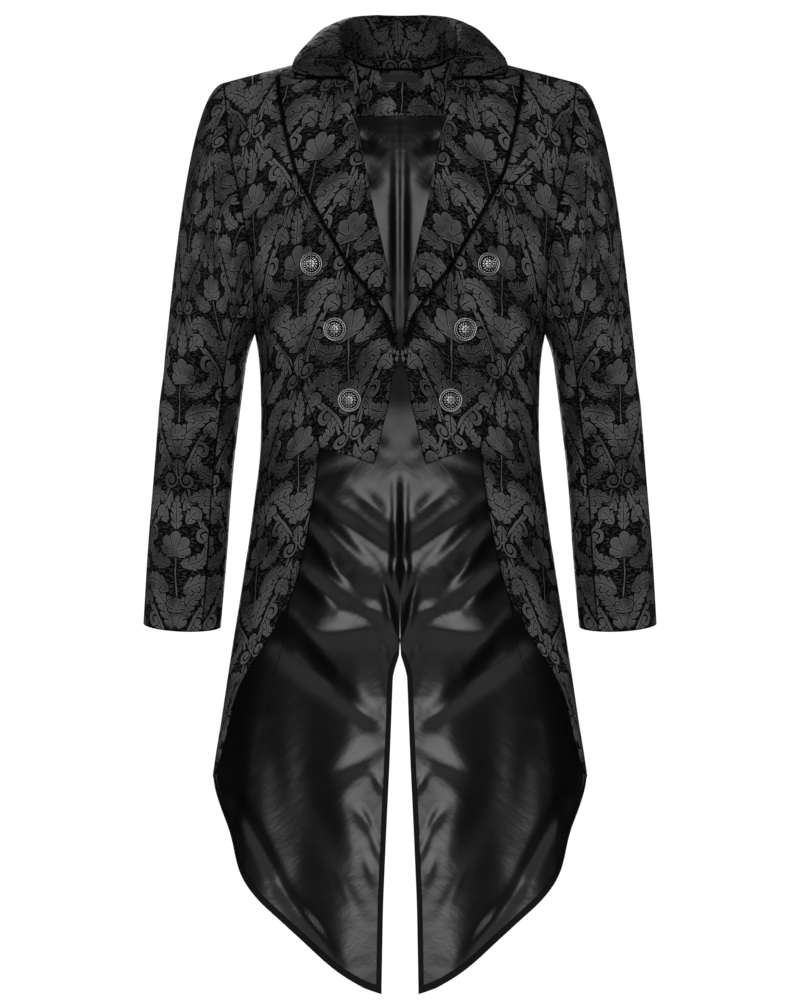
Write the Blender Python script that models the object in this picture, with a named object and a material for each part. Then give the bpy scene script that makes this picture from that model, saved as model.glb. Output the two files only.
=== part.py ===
"""Short-fronted tailcoat of figured cloth, worn open and hollow, as its separate sewn pieces.

Metres, +Z up. The front faces -Y and the wearer's left is at +X. The origin lies between the
shoulders, level with the points of the neck, where the wearer holds the coat up.
"""

import math

import bmesh
import bpy
import numpy as np
from mathutils import Vector

# Cloth walls and the gaps between them
SHELL_WALL = 0.0020
LINING_WALL = 0.0010
COLLAR_WALL = 0.0026
LAPEL_WALL = 0.0020
TAB_WALL = 0.0008
SEAM_GAP = 0.0003
SHOULDER_GAP = 0.0004
LAYER_GAP = 0.0004
HEM_TURN = 0.010
VENT_TURN = 0.007

# Rings of the coat's body. Level is the height of a ring before the shoulders slope.
CHEST_LEVEL = -0.300
CHEST_TO_RIDGE = 0.300
RIDGE_FLATNESS = 0.8
RIDGE_RISE = math.radians(88)
RING_COLUMNS = ("level", "half_width", "front_depth", "back_depth", "squareness")
RINGS = (
    (-1.150, 0.2330, 0.082, 0.132, 0.80),
    (-1.000, 0.2290, 0.086, 0.136, 0.80),
    (-0.860, 0.2225, 0.092, 0.138, 0.82),
    (-0.780, 0.2110, 0.099, 0.137, 0.84),
    (-0.700, 0.1990, 0.106, 0.132, 0.86),
    (-0.600, 0.1850, 0.112, 0.121, 0.87),
    (-0.530, 0.1760, 0.113, 0.107, 0.87),
    (-0.450, 0.1668, 0.111, 0.095, 0.87),
    (-0.400, 0.1663, 0.111, 0.095, 0.86),
    (-0.350, 0.1700, 0.116, 0.102, 0.85),
    (-0.300, 0.1785, 0.122, 0.112, 0.84),
    (-0.246, 0.1880, 0.124, 0.118, 0.83),
    (-0.205, 0.1970, 0.128, 0.124, 0.83),
    (-0.165, 0.2042, 0.128, 0.130, 0.83),
    (-0.123, 0.2095, 0.127, 0.131, 0.83),
    (-0.080, 0.2145, 0.125, 0.129, 0.83),
    (-0.040, 0.2150, 0.122, 0.126, 0.83),
    (0.000, 0.2125, 0.120, 0.124, 0.83),
)

# Shoulder ridge
NECK_HALF_WIDTH = 0.078
NECK_POINT_HEIGHT = 0.0107
SHOULDER_SLOPE = 0.25
NAPE_CLIMB = 0.015
NAPE_REACH = 0.100


def smooth(places, values, x):
    """Cubic through a table's rows, with the slope at each row taken from its neighbours."""
    places = np.asarray(places, float)
    values = np.asarray(values, float)
    x = np.asarray(x, float)
    slopes = np.gradient(values, places, axis=0)
    row = np.clip(np.searchsorted(places, x, side="right") - 1, 0, len(places) - 2)
    width = places[row + 1] - places[row]
    t = np.clip((x - places[row]) / width, 0.0, 1.0)
    spread = t.shape + (1,) * (values.ndim - 1)
    t, width = t.reshape(spread), width.reshape(spread)
    start = (1 + 2 * t) * (1 - t) ** 2 * values[row] + t * (1 - t) ** 2 * width * slopes[row]
    end = t * t * (3 - 2 * t) * values[row + 1] - t * t * (1 - t) * width * slopes[row + 1]
    return start + end


def rise_of(level):
    """Angle of a ring over the chest: 90 degrees on the shoulder ridge, negative below."""
    up = (np.asarray(level, float) - CHEST_LEVEL) / CHEST_TO_RIDGE
    return np.where(up > 0, np.arcsin(np.clip(up, 0.0, 1.0)), up)


def signed_power(value, exponent):
    return np.sign(value) * np.abs(value) ** exponent


def ridge_height(x):
    """The shoulder line falls outwards, and climbs a little to the nape."""
    climb = NAPE_CLIMB * np.clip(1 - (x / NAPE_REACH) ** 2, 0.0, 1.0) ** 2
    return NECK_POINT_HEIGHT - SHOULDER_SLOPE * (x - NECK_HALF_WIDTH) + climb


def body(angle, rise):
    """Point of the coat's outer surface on the wearer's left half.

    The angle runs round the body in radians, from 0 at the centre front to pi at the centre
    back. Each ring is a squared ellipse, and above the chest its depth closes up to the ridge.
    """
    table = np.array(RINGS)
    ring = smooth(rise_of(table[:, 0]), table[:, 1:], np.minimum(rise, math.pi - rise))
    half_width, front, back, power = np.moveaxis(ring, -1, 0)
    x = half_width * signed_power(np.sin(angle), power)
    facing = np.cos(angle)
    depth = np.where(facing > 0, front, back)
    closing = np.where(rise > 0, signed_power(np.cos(rise), RIDGE_FLATNESS), 1.0)
    y = -depth * closing * signed_power(facing, power)
    upper = CHEST_LEVEL + (ridge_height(np.abs(x)) - CHEST_LEVEL) * np.sin(rise)
    z = np.where(rise > 0, upper, CHEST_LEVEL + CHEST_TO_RIDGE * rise)
    return np.stack([x, y, z], axis=-1)


def outward(surface, angle, rise):
    """Unit normal of a surface over (angle, rise), by central differences short of the ridge."""
    step = 1e-3
    rise = np.minimum(rise, RIDGE_RISE)
    across = surface(angle + step, rise) - surface(angle - step, rise)
    upward = surface(angle, rise + step) - surface(angle, rise - step)
    normal = np.cross(across, upward)
    return normal / np.linalg.norm(normal, axis=-1, keepdims=True)


# Soft flutes of the tails, as bands down the cloth that stand out or fall in
FLUTE_COLUMNS = ("angle", "half_band", "depth", "from_level")
FLUTES = (
    (168.0, 9.0, 0.005, -0.66),
    (150.0, 10.0, -0.007, -0.62),
    (131.0, 10.0, 0.007, -0.66),
    (112.0, 9.0, -0.006, -0.70),
    (88.0, 10.0, 0.004, -0.66),
)
FLUTE_GROWTH = 0.30


def cloth(angle, rise):
    """The body's surface with the flutes of the tails laid on it."""
    points = body(angle, rise)
    level = CHEST_LEVEL + CHEST_TO_RIDGE * rise
    ease = np.zeros_like(level)
    for centre, half_band, depth, start in FLUTES:
        growth = np.clip((start - level) / FLUTE_GROWTH, 0.0, 1.0)
        growth = growth * growth * (3 - 2 * growth)
        away = (np.degrees(angle) - centre) / half_band
        ease = ease + depth * growth * np.exp(-away * away)
    reach = points * np.array([1.0, 1.0, 0.0])
    length = np.maximum(np.linalg.norm(reach, axis=-1, keepdims=True), 1e-6)
    return points + reach / length * ease[..., None]


# The armhole, by turn round it from the shoulder point over the front
ARMHOLE_COLUMNS = ("turn", "angle", "level")
ARMHOLE = (
    (0.0, 90.0, 0.000),
    (22.5, 76.0, -0.018),
    (45.0, 71.5, -0.072),
    (67.5, 67.0, -0.135),
    (90.0, 65.0, -0.192),
    (112.5, 66.5, -0.243),
    (135.0, 71.5, -0.283),
    (157.5, 80.0, -0.312),
    (180.0, 90.0, -0.324),
    (202.5, 100.0, -0.312),
    (225.0, 108.5, -0.283),
    (247.5, 113.5, -0.243),
    (270.0, 114.5, -0.192),
    (292.5, 112.5, -0.135),
    (315.0, 108.0, -0.072),
    (337.5, 103.0, -0.018),
)
ARMHOLE_STEPS = 32
FRONT_SEAM_STEP = 12
BACK_SEAM_STEP = 22

# Edges and seams of the panels, as angle round the body and level
EDGE_COLUMNS = ("angle", "level")
FRONT_EDGE = (
    (17.4, 0.000),
    (16.2, -0.020),
    (14.6, -0.040),
    (13.1, -0.085),
    (11.2, -0.135),
    (8.4, -0.194),
    (5.8, -0.238),
    (3.7, -0.277),
    (2.3, -0.302),
    (1.2, -0.330),
    (0.05, -0.345),
    (0.05, -0.362),
    (2.0, -0.380),
    (2.6, -0.406),
    (4.9, -0.437),
    (6.3, -0.461),
    (8.0, -0.4818),
)
FRONT_SHOULDER = ((17.4, 0.0), (90.0, 0.0))
FRONT_HEM = ((8.0, -0.4818), (17.2, -0.4718), (31.1, -0.4620))
FRONT_SEAM = (
    (71.5, -0.283),
    (60.0, -0.318),
    (48.0, -0.358),
    (39.0, -0.400),
    (33.5, -0.436),
    (31.1, -0.462),
)
CUTAWAY = (
    (31.1, -0.462),
    (31.6, -0.492),
    (32.5, -0.523),
    (34.1, -0.563),
    (36.2, -0.604),
    (39.0, -0.637),
    (45.4, -0.671),
    (54.5, -0.706),
    (64.5, -0.740),
    (69.0, -0.765),
    (71.5, -0.800),
    (75.0, -0.830),
    (82.0, -0.851),
)
SIDE_HEM = ((82.0, -0.851), (92.0, -0.856), (102.5, -0.888), (112.0, -0.924), (126.0, -0.979))
BACK_SEAM = (
    (113.5, -0.243),
    (118.0, -0.283),
    (128.0, -0.330),
    (137.0, -0.400),
    (140.0, -0.460),
    (139.0, -0.550),
    (135.0, -0.700),
    (130.5, -0.850),
    (126.0, -0.979),
)
BACK_HEM = (
    (126.0, -0.979),
    (137.2, -1.020),
    (148.2, -1.056),
    (158.5, -1.086),
    (167.2, -1.113),
    (173.0, -1.129),
    (176.9, -1.136),
)
BACK_SHOULDER = ((90.0, 0.0), (162.6, 0.0))
BACK_NECK = ((162.6, 0.000), (166.0, -0.006), (170.0, -0.018), (175.0, -0.030), (180.0, -0.036))
CENTRE_BACK = (
    (180.0, -0.3),
    (180.0, -0.714),
    (178.6, -0.740),
    (178.2, -0.853),
    (177.7, -0.940),
    (177.2, -1.027),
    (176.9, -1.136),
)
VENT_TOP = -0.714
FACING_FOOT = -0.0508
FACING_ROWS = 3
FRONT_COLUMNS = 9
SEAM_STEPS = 5
CUTAWAY_STEPS = 10
SHOULDER_STEPS = 5
NECK_STEPS = 4


def line(rows, steps=24):
    """Fine points of a table's edge, as (angle, rise) in radians, straight between rows."""
    table = np.array([(math.radians(angle), float(rise_of(level))) for angle, level in rows])
    t = np.linspace(0, len(table) - 1, steps * (len(table) - 1) + 1)
    row = np.arange(len(table))
    return np.stack([np.interp(t, row, table[:, 0]), np.interp(t, row, table[:, 1])], axis=1)


def shares(edge):
    """How far along each point of an edge lies, from 0 to 1, by its length on the cloth."""
    points = cloth(edge[:, 0], edge[:, 1])
    runs = np.linalg.norm(np.diff(points, axis=0), axis=1)
    return np.concatenate([[0.0], np.cumsum(runs)]) / runs.sum()


def spaced(edge, where):
    """Points of an edge at these shares of its length, or at this many even steps."""
    if isinstance(where, int):
        where = np.linspace(0, 1, where + 1)
    along = shares(edge)
    return np.stack([np.interp(where, along, edge[:, k]) for k in (0, 1)], axis=1)


def join_ends(*edges):
    """One edge from several, each starting where the one before it ends."""
    return np.concatenate([edges[0]] + [edge[1:] for edge in edges[1:]])


def armhole_points():
    """The armhole's points, as (angle, rise), one for each step of the turn and the first again."""
    table = np.array(ARMHOLE)
    values = np.stack([np.radians(table[:, 1]), rise_of(table[:, 2])], axis=1)
    turns = np.concatenate([table[-3:, 0] - 360, table[:, 0], table[:4, 0] + 360])
    values = np.concatenate([values[-3:], values, values[:4]])
    return smooth(turns, values, np.linspace(0, 360, ARMHOLE_STEPS + 1))


def patch(left, right, top, bottom):
    """Grid of (angle, rise) between four edges: rows run down, columns from left to right."""
    t = shares(left)[:, None, None]
    s = shares(top)[None, :, None]
    sides = (1 - s) * left[:, None] + s * right[:, None]
    ends = (1 - t) * top[None] + t * bottom[None]
    corners = (1 - t) * ((1 - s) * top[0] + s * top[-1]) + t * ((1 - s) * bottom[0] + s * bottom[-1])
    return sides + ends - corners


def front_grid(armhole):
    outer = join_ends(armhole[: FRONT_SEAM_STEP + 1], spaced(line(FRONT_SEAM), SEAM_STEPS))
    inner = spaced(line(FRONT_EDGE), shares(outer))
    top = spaced(line(FRONT_SHOULDER), FRONT_COLUMNS)
    return patch(inner, outer, top, spaced(line(FRONT_HEM), FRONT_COLUMNS))


def turning(grid, width):
    """Adds a row of points this far inside the last row, where a turned edge ends inside."""
    points = cloth(grid[-2:, :, 0], grid[-2:, :, 1])
    run = np.linalg.norm(points[1] - points[0], axis=-1)[:, None]
    inside = grid[-1] + (grid[-2] - grid[-1]) * width / run
    return np.concatenate([grid[:-1], inside[None], grid[-1:]])


def side_grid(armhole):
    """Rows of the side, with a row inside the hem and a column inside the cutaway edge."""
    inner = join_ends(spaced(line(FRONT_SEAM), SEAM_STEPS), spaced(line(CUTAWAY), CUTAWAY_STEPS))
    outer = spaced(line(BACK_SEAM), shares(inner))
    top = armhole[FRONT_SEAM_STEP : BACK_SEAM_STEP + 1]
    grid = turning(patch(inner, outer, top, spaced(line(SIDE_HEM), len(top) - 1)), HEM_TURN)
    return turning(grid[:, ::-1].transpose(1, 0, 2), HEM_TURN).transpose(1, 0, 2)[:, ::-1]


def facing_line(start):
    """Fine points from the armhole across to the centre back, at the height of the facing's foot."""
    angle = np.linspace(start[0], math.pi, 49)
    from_height = cloth(start[0], start[1])[2]
    height = np.linspace(from_height, FACING_FOOT, len(angle))
    rise = np.full_like(angle, start[1])
    for _ in range(8):
        ridge = ridge_height(np.abs(cloth(angle, rise)[:, 0]))
        rise = np.arcsin((height - CHEST_LEVEL) / (ridge - CHEST_LEVEL))
    return np.stack([angle, rise], axis=1)


def back_grid(armhole, side):
    """Rows of the back, those behind the neck facing first, with a column inside the vent's edge."""
    outer = join_ends(armhole[BACK_SEAM_STEP:][::-1], side[:, -1])
    top = join_ends(spaced(line(BACK_SHOULDER), SHOULDER_STEPS), spaced(line(BACK_NECK), NECK_STEPS))
    fine = facing_line(outer[FACING_ROWS])
    across = spaced(fine, shares(top))
    centre = np.linspace(top[-1], across[-1], FACING_ROWS + 1)
    upper = patch(outer[: FACING_ROWS + 1], centre, top, across)
    outer = outer[FACING_ROWS:]
    centre = spaced(np.concatenate([across[-1:], line(CENTRE_BACK)]), shares(outer))
    lower = patch(outer, centre, across, spaced(line(BACK_HEM), len(top) - 1))
    return turning(join_ends(upper, lower).transpose(1, 0, 2), VENT_TURN).transpose(1, 0, 2)


def layer(grid, under, over):
    """Outer and inner points of a layer of cloth, at these depths under the panel's surface."""
    angle, rise = grid[..., 0], grid[..., 1]
    points = cloth(angle, rise)
    normals = outward(cloth, angle, rise)
    return [points - normals * np.asarray(depth)[..., None] for depth in (under, over)]


def draw_in(sheets, left=0.0, right=0.0, top=0.0, bottom=0.0):
    """Moves the borders of a grid inwards along its lines, by a distance for each border."""
    def moved(border, inside, amount):
        way = inside - border
        return border + way * (amount / np.maximum(np.linalg.norm(way, axis=-1, keepdims=True), 1e-9))

    for sheet in sheets:
        sheet[:, 0] = moved(sheet[:, 0], sheet[:, 1], left)
        sheet[:, -1] = moved(sheet[:, -1], sheet[:, -2], right)
        sheet[0] = moved(sheet[0], sheet[1], top)
        sheet[-1] = moved(sheet[-1], sheet[-2], bottom)
    return sheets


def mirrored(sheets):
    """The same grid on the wearer's right, with its columns turned round so that it faces out."""
    return [(sheet * np.array([-1.0, 1.0, 1.0]))[:, ::-1] for sheet in sheets]


def finish(name, look):
    """A Principled material of one look: colour, roughness and metallic value."""
    colour, roughness, metallic = look
    material = bpy.data.materials.new(name)
    material.use_nodes = True
    shader = material.node_tree.nodes["Principled BSDF"]
    shader.inputs["Base Color"].default_value = (*colour, 1.0)
    shader.inputs["Roughness"].default_value = roughness
    shader.inputs["Metallic"].default_value = metallic
    return material


FIGURED_CLOTH = ((0.020, 0.020, 0.022), 0.62, 0.0)
SATIN = ((0.014, 0.014, 0.016), 0.28, 0.0)
PEWTER = ((0.42, 0.42, 0.43), 0.32, 1.0)
WOVEN_TAB = ((0.030, 0.030, 0.032), 0.70, 0.0)


def place(name, points, faces, look):
    """Puts a closed mesh into the scene under its name, with its own material."""
    mesh = bpy.data.meshes.new(name)
    mesh.from_pydata(points.tolist(), [], faces)
    mesh.validate()
    mesh.materials.append(finish(name + "_finish", look))
    mesh.shade_smooth()
    mesh.set_sharp_from_angle(angle=math.radians(50))
    piece = bpy.data.objects.new(name, mesh)
    bpy.context.scene.collection.objects.link(piece)
    return piece


def wall(name, sheets, look):
    """A closed wall of cloth between an outer and an inner grid, with its border faces."""
    outer, inner = sheets
    rows, columns = outer.shape[:2]
    count = rows * columns
    points = np.concatenate([outer.reshape(-1, 3), inner.reshape(-1, 3)])
    index = np.arange(count).reshape(rows, columns)
    low, high = index[:-1, :-1].ravel(), index[1:, 1:].ravel()
    right, down = index[:-1, 1:].ravel(), index[1:, :-1].ravel()
    faces = np.stack([low, down, high, right], axis=1)
    back = np.stack([low, right, high, down], axis=1) + count
    ring = np.concatenate([index[0], index[1:, -1], index[-1, -2::-1], index[-2:0:-1, 0]])
    following = np.roll(ring, -1)
    border = np.stack([ring, following, following + count, ring + count], axis=1)
    return place(name, points, np.concatenate([faces, back, border]).tolist(), look)


def pair(name, sheets, look):
    """The same piece for the wearer's left and right."""
    left = wall(name + "_left", sheets, look)
    right = wall(name + "_right", mirrored(sheets), look)
    return left, right


# Sleeves: sections below the armpit, and how the head leaves the armhole
SLEEVE_COLUMNS = ("height", "centre_x", "centre_y", "half_width", "half_depth", "slant")
SLEEVE = (
    (-0.360, 0.2337, -0.002, 0.0489, 0.068, 0.00),
    (-0.420, 0.2405, -0.006, 0.0482, 0.062, 0.02),
    (-0.500, 0.2478, -0.012, 0.0470, 0.056, 0.06),
    (-0.580, 0.2535, -0.018, 0.0474, 0.050, 0.11),
    (-0.672, 0.2598, -0.024, 0.0462, 0.044, 0.15),
)
SLEEVE_TILT = 0.05
HEAD_OUT_TOP = 0.120
HEAD_OUT_BOTTOM = 0.012
HEAD_FORWARD = 0.030
HEAD_DROP = 0.030
HEAD_STEPS = 6
ARM_STEPS = 6
SLEEVE_FRONT_STEP = 11
SLEEVE_BACK_STEP = 21


def sleeve_section(turn, height):
    """Point of a sleeve's tube: an ellipse whose plane tips with the arm and with the cuff."""
    table = np.array(SLEEVE)
    section = smooth(-table[:, 0], table[:, 1:], -np.asarray(height, float))
    centre_x, centre_y, half_width, half_depth, slant = np.moveaxis(section, -1, 0)
    aside = half_width * np.cos(turn)
    ahead = half_depth * np.sin(turn)
    z = height + SLEEVE_TILT * aside - slant * ahead
    return np.stack([centre_x + aside, centre_y - ahead, z + 0 * turn], axis=-1)


def sleeve_points(armhole):
    """Rings of points down a sleeve, from the armhole through its head to the cuff."""
    turn = np.linspace(0, 2 * math.pi, ARMHOLE_STEPS + 1)
    start = cloth(armhole[:, 0], armhole[:, 1])
    top = SLEEVE[0][0]
    end = sleeve_section(turn, np.full_like(turn, top))
    below = sleeve_section(turn, np.full_like(turn, top - 0.01))
    reach = np.linalg.norm(end - start, axis=1, keepdims=True)
    arriving = (below - end) / np.linalg.norm(below - end, axis=1, keepdims=True) * reach
    middle = (HEAD_OUT_TOP + HEAD_OUT_BOTTOM) / 2
    out = middle + (HEAD_OUT_TOP - middle) * np.cos(turn)
    leaving = np.stack([out, -HEAD_FORWARD * np.sin(turn), np.full_like(turn, -HEAD_DROP)], axis=1)
    t = np.linspace(0, 1, HEAD_STEPS + 1)[:, None, None]
    head = (1 + 2 * t) * (1 - t) ** 2 * start + t * (1 - t) ** 2 * leaving
    head = head + t * t * (3 - 2 * t) * end - t * t * (1 - t) * arriving
    heights = np.linspace(top, SLEEVE[-1][0], ARM_STEPS + 1)[1:, None]
    return np.concatenate([head, sleeve_section(turn[None, :], heights)])


def tube_normals(rings):
    """Outward normals of a closed tube of rings, whose last column repeats the first."""
    around = np.roll(rings[:, :-1], -1, axis=1) - np.roll(rings[:, :-1], 1, axis=1)
    around = np.concatenate([around, around[:, :1]], axis=1)
    normals = np.cross(around, np.gradient(rings, axis=0))
    return normals / np.linalg.norm(normals, axis=-1, keepdims=True)


def build_sleeves(armhole):
    rings = sleeve_points(armhole)
    normals = tube_normals(rings)
    for name, first, last in (
        ("sleeve_top", SLEEVE_BACK_STEP - ARMHOLE_STEPS, SLEEVE_FRONT_STEP),
        ("sleeve_under", SLEEVE_FRONT_STEP, SLEEVE_BACK_STEP),
    ):
        steps = np.arange(last, first - 1, -1) % ARMHOLE_STEPS
        outer = rings[:, steps].copy()
        sheets = [outer, outer - normals[:, steps] * SHELL_WALL]
        half = SEAM_GAP / 2
        pair(name, draw_in(sheets, left=half, right=half, top=SEAM_GAP), FIGURED_CLOTH)


# Lapels, lying on the fronts
ROLL_LINE = (
    (13.0, -0.0455),
    (12.6, -0.066),
    (12.1, -0.085),
    (10.4, -0.135),
    (7.7, -0.194),
    (5.1, -0.238),
    (3.0, -0.277),
    (1.8, -0.302),
    (1.1, -0.325),
    (0.8, -0.340),
)
LAPEL_EDGE = (
    (38.2, -0.0122),
    (37.3, -0.0383),
    (35.9, -0.0624),
    (34.6, -0.0845),
    (33.2, -0.1115),
    (31.5, -0.1367),
    (28.6, -0.1585),
    (25.6, -0.1786),
    (22.4, -0.2020),
    (19.2, -0.2235),
    (14.3, -0.2542),
    (8.0, -0.2820),
    (3.2, -0.3056),
    (1.7, -0.3300),
    (1.4, -0.3430),
)
GORGE = ((13.0, -0.0455), (18.4, -0.0378), (25.0, -0.0309))
LAPEL_NOTCH = ((25.0, -0.0309), (31.2, -0.0248), (38.2, -0.0122))
COLLAR_NOTCH = ((25.0, -0.0309), (31.7, -0.0205), (32.4, -0.0144))
LAPEL_COLUMNS = ("share_across", "lift")
LAPEL_LIFT = (
    (0.00, 0.0026),
    (0.04, 0.0037),
    (0.12, 0.0052),
    (0.30, 0.0056),
    (0.55, 0.0047),
    (0.78, 0.0039),
    (1.00, 0.0036),
)
LAPEL_ROWS = 15


def lapel_grid():
    outer = spaced(line(LAPEL_EDGE), LAPEL_ROWS)
    inner = spaced(line(ROLL_LINE), shares(outer))
    across = np.array(LAPEL_LIFT)[:, 0]
    top = spaced(join_ends(line(GORGE), line(LAPEL_NOTCH)), across)
    return patch(inner, outer, top, spaced(np.stack([inner[-1], outer[-1]]), across))


def build_lapels():
    grid = lapel_grid()
    lift = np.array(LAPEL_LIFT)[:, 1]
    sheets = layer(grid, -lift, LAPEL_WALL - lift)
    pair("lapel", draw_in(sheets, top=SEAM_GAP), FIGURED_CLOTH)


# Collar: stations from the nape round to its front end, on the wearer's left
ROLL_COLUMNS = ("share_of_neckline", "x", "y", "z")
COLLAR_ROLL = (
    (0.000, 0.0000, 0.0780, 0.0680),
    (0.160, 0.0300, 0.0740, 0.0675),
    (0.295, 0.0540, 0.0580, 0.0620),
    (0.430, 0.0680, 0.0300, 0.0480),
    (0.600, 0.0705, -0.0020, 0.0290),
    (0.800, 0.0680, -0.0370, 0.0060),
    (1.000, 0.0625, -0.0725, -0.0275),
)
SWELL_COLUMNS = ("x", "y", "z")
COLLAR_SWELL = (
    (0.0000, 0.1060, 0.0700),
    (0.0420, 0.1000, 0.0710),
    (0.0800, 0.0800, 0.0720),
    (0.1000, 0.0440, 0.0600),
    (0.1080, 0.0040, 0.0390),
    (0.1080, -0.0340, 0.0140),
)
COLLAR_EDGE = (
    (180.0, -0.0496),
    (171.5, -0.0470),
    (161.0, -0.0360),
    (152.0, -0.0120),
    (149.2, 0.0000),
    (31.5, -0.0040),
    (32.4, -0.0144),
)
COLLAR_EDGE_LIFT = 0.0040
COLLAR_MITRE = 1.3
COLLAR_LIP = ((0.0020, -0.0015), (0.0004, -0.0036))
STAND_STEPS = 4
FALL_STEPS = 7


def collar_falls():
    """The fall's profile at each station, from the roll to its edge, the last along the gorge."""
    roll, swell = np.array(COLLAR_ROLL)[:, 1:], np.array(COLLAR_SWELL)
    table = np.array(COLLAR_EDGE)
    angle, rise = np.radians(table[:, 0]), rise_of(table[:, 1])
    edge = cloth(angle, rise) + outward(cloth, angle, rise) * COLLAR_EDGE_LIFT
    t = np.linspace(0, 1, FALL_STEPS + 1)[None, :, None]
    fall = (1 - t) ** 2 * roll[:-1, None] + 2 * t * (1 - t) * swell[:, None] + t * t * edge[:-1, None]
    end = spaced(join_ends(line(GORGE), line(COLLAR_NOTCH)), FALL_STEPS)
    gorge = shares(join_ends(line(GORGE), line(LAPEL_NOTCH)))[len(line(GORGE)) - 1]
    lift = np.array(LAPEL_LIFT)
    lift = np.interp(np.linspace(0, 1, FALL_STEPS + 1) * gorge * 1.4, lift[:, 0], lift[:, 1])
    last = cloth(end[:, 0], end[:, 1]) + outward(cloth, end[:, 0], end[:, 1]) * lift[:, None]
    return np.concatenate([fall, last[None]])


def halved(values):
    """Rows with one more half way between each pair."""
    middles = (values[1:] + values[:-1]) / 2
    return np.insert(values, np.arange(1, len(values)), middles, axis=0)


def neckline(front, back):
    """Edge points of the neck opening from the centre back to the gorge, with two directions there.

    The first points outwards from the cloth, and the second off the panel along the cloth.
    """
    behind = back[0, ::-1][[0, 2, 3, 4, 5]]
    ahead = front[1 : NECK_STEPS + 1, 0]
    points = np.concatenate([cloth(*behind.T), cloth(*ahead.T)])
    normals = np.concatenate([outward(cloth, *behind.T), outward(cloth, *ahead.T)])
    off = np.cross(np.gradient(points, axis=0), normals)
    off /= np.linalg.norm(off, axis=1, keepdims=True)
    return halved(points), halved(normals), halved(off)


def build_collar(front, back):
    points, normals, off = neckline(front, back)
    runs = np.concatenate([[0.0], np.cumsum(np.linalg.norm(np.diff(points, axis=0), axis=1))])
    fall = smooth(np.array(COLLAR_ROLL)[:, 0], collar_falls(), runs / runs[-1])
    hidden_foot = points + off * SEAM_GAP
    seen_foot = hidden_foot - normals * COLLAR_WALL
    for foot, (away, under) in zip((seen_foot, hidden_foot), COLLAR_LIP):
        foot[-1] = fall[-1, 0] + off[-1] * away + normals[-1] * under
        foot[-2] = (foot[-1] + foot[-3]) / 2
    up = np.linspace(0, 1, STAND_STEPS + 1)[None, :-1, None]
    seen = np.concatenate([seen_foot[:, None] + (fall[:, :1] - seen_foot[:, None]) * up, fall], axis=1)
    facing = np.cross(np.gradient(seen, axis=0), np.gradient(seen, axis=1))
    facing /= -np.linalg.norm(facing, axis=-1, keepdims=True)
    hidden = seen - facing * COLLAR_WALL
    hidden[:, STAND_STEPS] = seen[:, STAND_STEPS] - facing[:, STAND_STEPS] * COLLAR_WALL * COLLAR_MITRE
    roll = hidden[:, STAND_STEPS : STAND_STEPS + 1]
    hidden[:, :STAND_STEPS] = hidden_foot[:, None] + (roll - hidden_foot[:, None]) * up
    sheets = []
    for half in (seen, hidden):
        half[0, :, 0] = 0.0
        right = half[:0:-1] * np.array([-1.0, 1.0, 1.0])
        sheets.append(np.concatenate([right, half]).transpose(1, 0, 2))
    wall("collar", draw_in(sheets, left=SEAM_GAP, right=SEAM_GAP), FIGURED_CLOTH)


# Lining, seen inside the back and the tails
FOLD_COLUMNS = ("from_x", "from_z", "to_x", "to_z", "half_band", "height")
LINING_FOLDS = (
    (0.102, -0.527, 0.014, -0.588, 0.017, 0.0045),
    (0.112, -0.561, 0.067, -0.612, 0.015, 0.0040),
    (0.122, -0.613, 0.076, -0.657, 0.014, 0.0035),
    (0.110, -0.688, 0.020, -0.680, 0.018, 0.0040),
    (0.148, -0.696, 0.071, -0.766, 0.016, 0.0045),
    (0.071, -0.766, 0.022, -0.806, 0.014, 0.0035),
    (0.093, -0.872, 0.024, -0.829, 0.016, 0.0030),
)


def lining_ease(points):
    """How far the lining stands off the shell: soft ridges along the drag folds."""
    ease = np.zeros(points.shape[:-1])
    flat = points[..., [0, 2]]
    for from_x, from_z, to_x, to_z, half_band, height in LINING_FOLDS:
        start, end = np.array([from_x, from_z]), np.array([to_x, to_z])
        way = end - start
        share = np.clip(((flat - start) @ way) / (way @ way), 0.0, 1.0)
        away = np.linalg.norm(flat - start - share[..., None] * way, axis=-1) / half_band
        ease = ease + height * np.exp(-away * away)
    return np.where(points[..., 1] > 0, ease, 0.0)


def lining_sheets(grid):
    under = SHELL_WALL + LAYER_GAP + lining_ease(cloth(grid[..., 0], grid[..., 1]))
    return layer(grid, under, under + LINING_WALL)


def build_linings(side, back):
    """Linings of the back and the side, on the panels' points inside their turned edges."""
    half = SEAM_GAP / 2
    centre_height = cloth(back[:, -1, 0], back[:, -1, 1])[:, 2]
    below_vent = (centre_height < VENT_TOP)[:, None]
    last = np.where(below_vent, back[:, -2], back[:, -1])
    grid = np.concatenate([back[:, :-2], last[:, None]], axis=1)[FACING_ROWS:-1]
    pair("lining_back", draw_in(lining_sheets(grid), left=half, right=half, top=half), SATIN)
    pair("lining_side", draw_in(lining_sheets(side[:-1, 1:]), right=half, top=SEAM_GAP), SATIN)


def build_facing(back):
    under = SHELL_WALL + LAYER_GAP
    half = layer(back[: FACING_ROWS + 1], under, under + LINING_WALL)
    half = draw_in(half, left=SEAM_GAP, top=SEAM_GAP, bottom=SEAM_GAP / 2)
    sheets = [np.concatenate([left[:, :-1], right], axis=1) for left, right in zip(half, mirrored(half))]
    return wall("back_neck_facing", sheets, FIGURED_CLOTH)


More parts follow.
